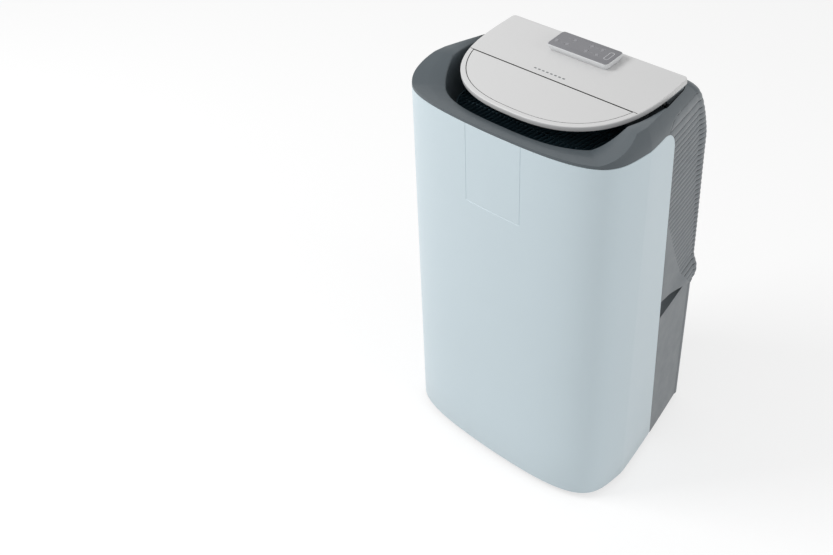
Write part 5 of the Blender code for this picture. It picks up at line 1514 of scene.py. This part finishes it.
def make_screws():
    """Cross-head screws that hold the lower rear shell."""
    head = 0.0034
    dome = ((1.0, 0.0), (1.0, 0.0005), (0.92, 0.0010), (0.7, 0.0014), (0.35, 0.0016))
    loops = [[(x, w, z) for x, z in circle((0, 0), head * share, 28)] for share, w in dome]
    pattern = loft("screw_pattern", loops)
    for half_u, half_v in ((0.0019, 0.00035), (0.00035, 0.0019)):
        cut(pattern, prism("cross", rectangle(-half_u, half_u, -half_v, half_v), "Y", 0.0006, 0.01))
    clean(pattern)
    spots = new_piece("shell_screws", [(x, BACK_Y - 0.0001, z) for x, z in SCREWS], [])
    grown(spots, scatter_tree, "steel", Pattern=pattern)
    bpy.data.objects.remove(pattern)
    hand_over(spots, "body", "steel")


def make_wheels():
    """The castors' wheels, with three shallow grooves in each tread."""
    half, radius = 0.0075, WHEEL_RADIUS
    profile = [(0.0026, -half), (0.0060, -half), (0.0070, -half + 0.0010), (0.0110, -half + 0.0010),
               (0.0118, -half), (radius - 0.0020, -half), (radius - 0.0006, -half + 0.0006),
               (radius, -half + 0.0020)]
    tread = []
    for k in (-1, 0, 1):
        tread += [(radius, k * 0.0032 - 0.0008), (radius - 0.0006, k * 0.0032 - 0.0004),
                  (radius - 0.0006, k * 0.0032 + 0.0004), (radius, k * 0.0032 + 0.0008)]
    profile = profile + tread + [(r, -w) for r, w in reversed(profile)]
    for name, (x, y) in CASTORS.items():
        wheel = turned(f"roller_{name}", "X", (y + CASTOR_TRAIL, WHEEL_RADIUS),
                       [(r, x + w) for r, w in profile], 64)
        hand_over(wheel, f"wheel_{name}", "rubber", [f"castor_wheel_{name}"])


def finish_machinery():
    """Every part of the frame that keeps its own shape gets the finish of its slot."""
    for obj in frame["nodes"].values():
        for slot in obj.material_slots:
            slot.material = finish_of(slot.material.name.split(".")[0].removeprefix(MATERIAL_PREFIX))


# ---------------------------------------------------------------- stage
def seen_directly(nodes, links):
    """1 for what the camera, a gloss or a clear part shows of the surroundings, and 0 for their light."""
    path = nodes.new("ShaderNodeLightPath")
    share = path.outputs["Is Camera Ray"]
    for ray in ("Is Glossy Ray", "Is Transmission Ray"):
        wider = nodes.new("ShaderNodeMath")
        wider.operation = "MAXIMUM"
        links.new(share, wider.inputs[0])
        links.new(path.outputs[ray], wider.inputs[1])
        share = wider.outputs[0]
    return share


def make_floor(settings):
    """A pale floor, which whatever sees it directly finds almost white."""
    far = 9
    corners = [(-far, -far, 0), (far, -far, 0), (far, far, 0), (-far, far, 0)]
    floor = new_piece("floor", corners, [[0, 1, 2, 3]])
    material = bpy.data.materials.new("studio_floor")
    material.use_nodes = True
    nodes, links = material.node_tree.nodes, material.node_tree.links
    nodes.clear()
    output = nodes.new("ShaderNodeOutputMaterial")
    matt = nodes.new("ShaderNodeBsdfDiffuse")
    matt.inputs["Color"].default_value = (*settings.floor, 1)
    pale = nodes.new("ShaderNodeBsdfDiffuse")
    pale.inputs["Color"].default_value = WHITE
    glow = nodes.new("ShaderNodeEmission")
    glow.inputs["Color"].default_value = WHITE
    glow.inputs["Strength"].default_value = FLOOR_GLOW
    lifted = nodes.new("ShaderNodeMixShader")
    lifted.inputs["Fac"].default_value = FLOOR_LIFT
    links.new(pale.outputs[0], lifted.inputs[1])
    links.new(glow.outputs[0], lifted.inputs[2])
    seen = nodes.new("ShaderNodeMixShader")
    links.new(seen_directly(nodes, links), seen.inputs["Fac"])
    links.new(matt.outputs[0], seen.inputs[1])
    links.new(lifted.outputs[0], seen.inputs[2])
    links.new(seen.outputs[0], output.inputs["Surface"])
    floor.data.materials.append(material)


def make_world(settings):
    """White where it is seen directly, and a softer even light everywhere else."""
    world = bpy.data.worlds.new("studio")
    world.use_nodes = True
    nodes, links = world.node_tree.nodes, world.node_tree.links
    sky = nodes["Background"]
    sky.inputs["Color"].default_value = WHITE
    sky.inputs["Strength"].default_value = settings.sky
    backdrop = nodes.new("ShaderNodeBackground")
    backdrop.inputs["Color"].default_value = WHITE
    choice = nodes.new("ShaderNodeMixShader")
    links.new(seen_directly(nodes, links), choice.inputs["Fac"])
    links.new(sky.outputs[0], choice.inputs[1])
    links.new(backdrop.outputs[0], choice.inputs[2])
    links.new(choice.outputs[0], nodes["World Output"].inputs["Surface"])
    bpy.context.scene.world = world


def make_lamp(name, power, size, spot):
    lamp = bpy.data.lights.new(name, "AREA")
    lamp.energy = power
    lamp.size = size
    holder = bpy.data.objects.new(name, lamp)
    holder.location = spot
    holder.rotation_euler = (Vector(LAMP_AIM) - Vector(spot)).to_track_quat("-Z", "Y").to_euler()
    bpy.context.scene.collection.objects.link(holder)


def make_camera(settings):
    camera = bpy.data.cameras.new("studio_camera")
    camera.lens = settings.lens
    camera.sensor_width = 36
    camera.clip_end = 60
    holder = bpy.data.objects.new("studio_camera", camera)
    rows = [[axis[k] for axis in (CAMERA_RIGHT, CAMERA_UP, CAMERA_BACK, CAMERA_SPOT)] for k in range(3)]
    holder.matrix_world = Matrix(rows + [[0, 0, 0, 1]])
    bpy.context.scene.collection.objects.link(holder)
    bpy.context.scene.camera = holder


def make_stage():
    """Floor, surroundings, lamps and camera."""
    settings = bpy.context.scene.cooler_stage
    make_floor(settings)
    make_world(settings)
    make_lamp("key_lamp", settings.key, 1.6, (-1.9, -1.9, 2.6))
    make_lamp("fill_lamp", settings.fill, 1.4, (2.4, 0.1, 1.5))
    make_camera(settings)
    bpy.context.scene.view_settings.view_transform = "Standard"


# ---------------------------------------------------------------- operators
class COOLER_OT_front_panel(bpy.types.Operator):
    """Make the wrap-round front panel with its inlaid line"""

    bl_idname = "cooler.front_panel"
    bl_label = "Front panel"
    bl_options = {"REGISTER", "UNDO"}

    def execute(self, context):
        make_front_panel()
        return {"FINISHED"}


class COOLER_OT_hood(bpy.types.Operator):
    """Make the ribbed rear hood"""

    bl_idname = "cooler.hood"
    bl_label = "Ribbed hood"
    bl_options = {"REGISTER", "UNDO"}

    def execute(self, context):
        make_hood()
        return {"FINISHED"}


class COOLER_OT_lower_shell(bpy.types.Operator):
    """Make the plain rear shell below the hand grips"""

    bl_idname = "cooler.lower_shell"
    bl_label = "Lower rear shell"
    bl_options = {"REGISTER", "UNDO"}

    def execute(self, context):
        make_lower_shell()
        return {"FINISHED"}


class COOLER_OT_grips(bpy.types.Operator):
    """Make the liners of the two hand grips"""

    bl_idname = "cooler.grips"
    bl_label = "Hand grips"
    bl_options = {"REGISTER", "UNDO"}

    def execute(self, context):
        make_grips()
        return {"FINISHED"}


class COOLER_OT_deck(bpy.types.Operator):
    """Make the deck round the air outlet"""

    bl_idname = "cooler.deck"
    bl_label = "Top deck"
    bl_options = {"REGISTER", "UNDO"}

    def execute(self, context):
        make_deck()
        return {"FINISHED"}


class COOLER_OT_outlet(bpy.types.Operator):
    """Make the outlet's fins"""

    bl_idname = "cooler.outlet"
    bl_label = "Outlet fins"
    bl_options = {"REGISTER", "UNDO"}

    def execute(self, context):
        make_outlet_fins()
        return {"FINISHED"}


class COOLER_OT_lid(bpy.types.Operator):
    """Make the lid, its control cover, dashes and webs"""

    bl_idname = "cooler.lid"
    bl_label = "Lid"
    bl_options = {"REGISTER", "UNDO"}

    def execute(self, context):
        make_lid()
        make_lid_marks()
        make_lid_webs()
        return {"FINISHED"}


class COOLER_OT_remote(bpy.types.Operator):
    """Make the remote control with its marks and battery door"""

    bl_idname = "cooler.remote"
    bl_label = "Remote control"
    bl_options = {"REGISTER", "UNDO"}

    def execute(self, context):
        make_remote()
        make_remote_marks()
        return {"FINISHED"}


class COOLER_OT_buttons(bpy.types.Operator):
    """Make the remote control's seven keys"""

    bl_idname = "cooler.buttons"
    bl_label = "Remote keys"
    bl_options = {"REGISTER", "UNDO"}

    def execute(self, context):
        make_buttons()
        return {"FINISHED"}


class COOLER_OT_grilles(bpy.types.Operator):
    """Make the intake and lower grilles at the back"""

    bl_idname = "cooler.grilles"
    bl_label = "Rear grilles"
    bl_options = {"REGISTER", "UNDO"}

    def execute(self, context):
        make_grilles()
        return {"FINISHED"}


class COOLER_OT_fittings(bpy.types.Operator):
    """Make the exhaust port, drain bung, lead gland and screws"""

    bl_idname = "cooler.fittings"
    bl_label = "Rear fittings"
    bl_options = {"REGISTER", "UNDO"}

    def execute(self, context):
        make_port()
        make_plug_and_gland()
        make_screws()
        return {"FINISHED"}


class COOLER_OT_wheels(bpy.types.Operator):
    """Make the castors' wheels"""

    bl_idname = "cooler.wheels"
    bl_label = "Castor wheels"
    bl_options = {"REGISTER", "UNDO"}

    def execute(self, context):
        make_wheels()
        return {"FINISHED"}


class COOLER_OT_machinery(bpy.types.Operator):
    """Finish the machinery and the other parts that keep their shape"""

    bl_idname = "cooler.machinery"
    bl_label = "Machinery finishes"
    bl_options = {"REGISTER", "UNDO"}

    def execute(self, context):
        finish_machinery()
        return {"FINISHED"}


class COOLER_OT_stage(bpy.types.Operator):
    """Set up the floor, lamps and camera"""

    bl_idname = "cooler.stage"
    bl_label = "Stage"
    bl_options = {"REGISTER", "UNDO"}

    def execute(self, context):
        make_stage()
        return {"FINISHED"}


OPERATORS = (
    COOLER_OT_machinery,
    COOLER_OT_front_panel,
    COOLER_OT_hood,
    COOLER_OT_lower_shell,
    COOLER_OT_grips,
    COOLER_OT_deck,
    COOLER_OT_outlet,
    COOLER_OT_lid,
    COOLER_OT_remote,
    COOLER_OT_buttons,
    COOLER_OT_grilles,
    COOLER_OT_fittings,
    COOLER_OT_wheels,
    COOLER_OT_stage,
)


class COOLER_PT_panel(bpy.types.Panel):
    """The add-on's panel in the sidebar."""

    bl_label = "Portable air conditioner"
    bl_idname = "COOLER_PT_panel"
    bl_space_type = "VIEW_3D"
    bl_region_type = "UI"
    bl_category = "Air conditioner"

    def draw(self, context):
        for name, group in GROUPS.items():
            box = self.layout.box()
            for key in group.__annotations__:
                box.prop(getattr(context.scene, name), key)
        for operator in OPERATORS:
            self.layout.operator(operator.bl_idname)


CLASSES = (*GROUPS.values(), *OPERATORS, COOLER_PT_panel)


def register():
    for cls in CLASSES:
        bpy.utils.register_class(cls)
    for name, group in GROUPS.items():
        setattr(bpy.types.Scene, name, PointerProperty(type=group))


def unregister():
    for name in GROUPS:
        delattr(bpy.types.Scene, name)
    for cls in reversed(CLASSES):
        bpy.utils.unregister_class(cls)


def main():
    register()
    for operator in OPERATORS:
        name = operator.bl_idname.split(".")[1]
        getattr(bpy.ops.cooler, name)()


if __name__ == "__main__":
    main()
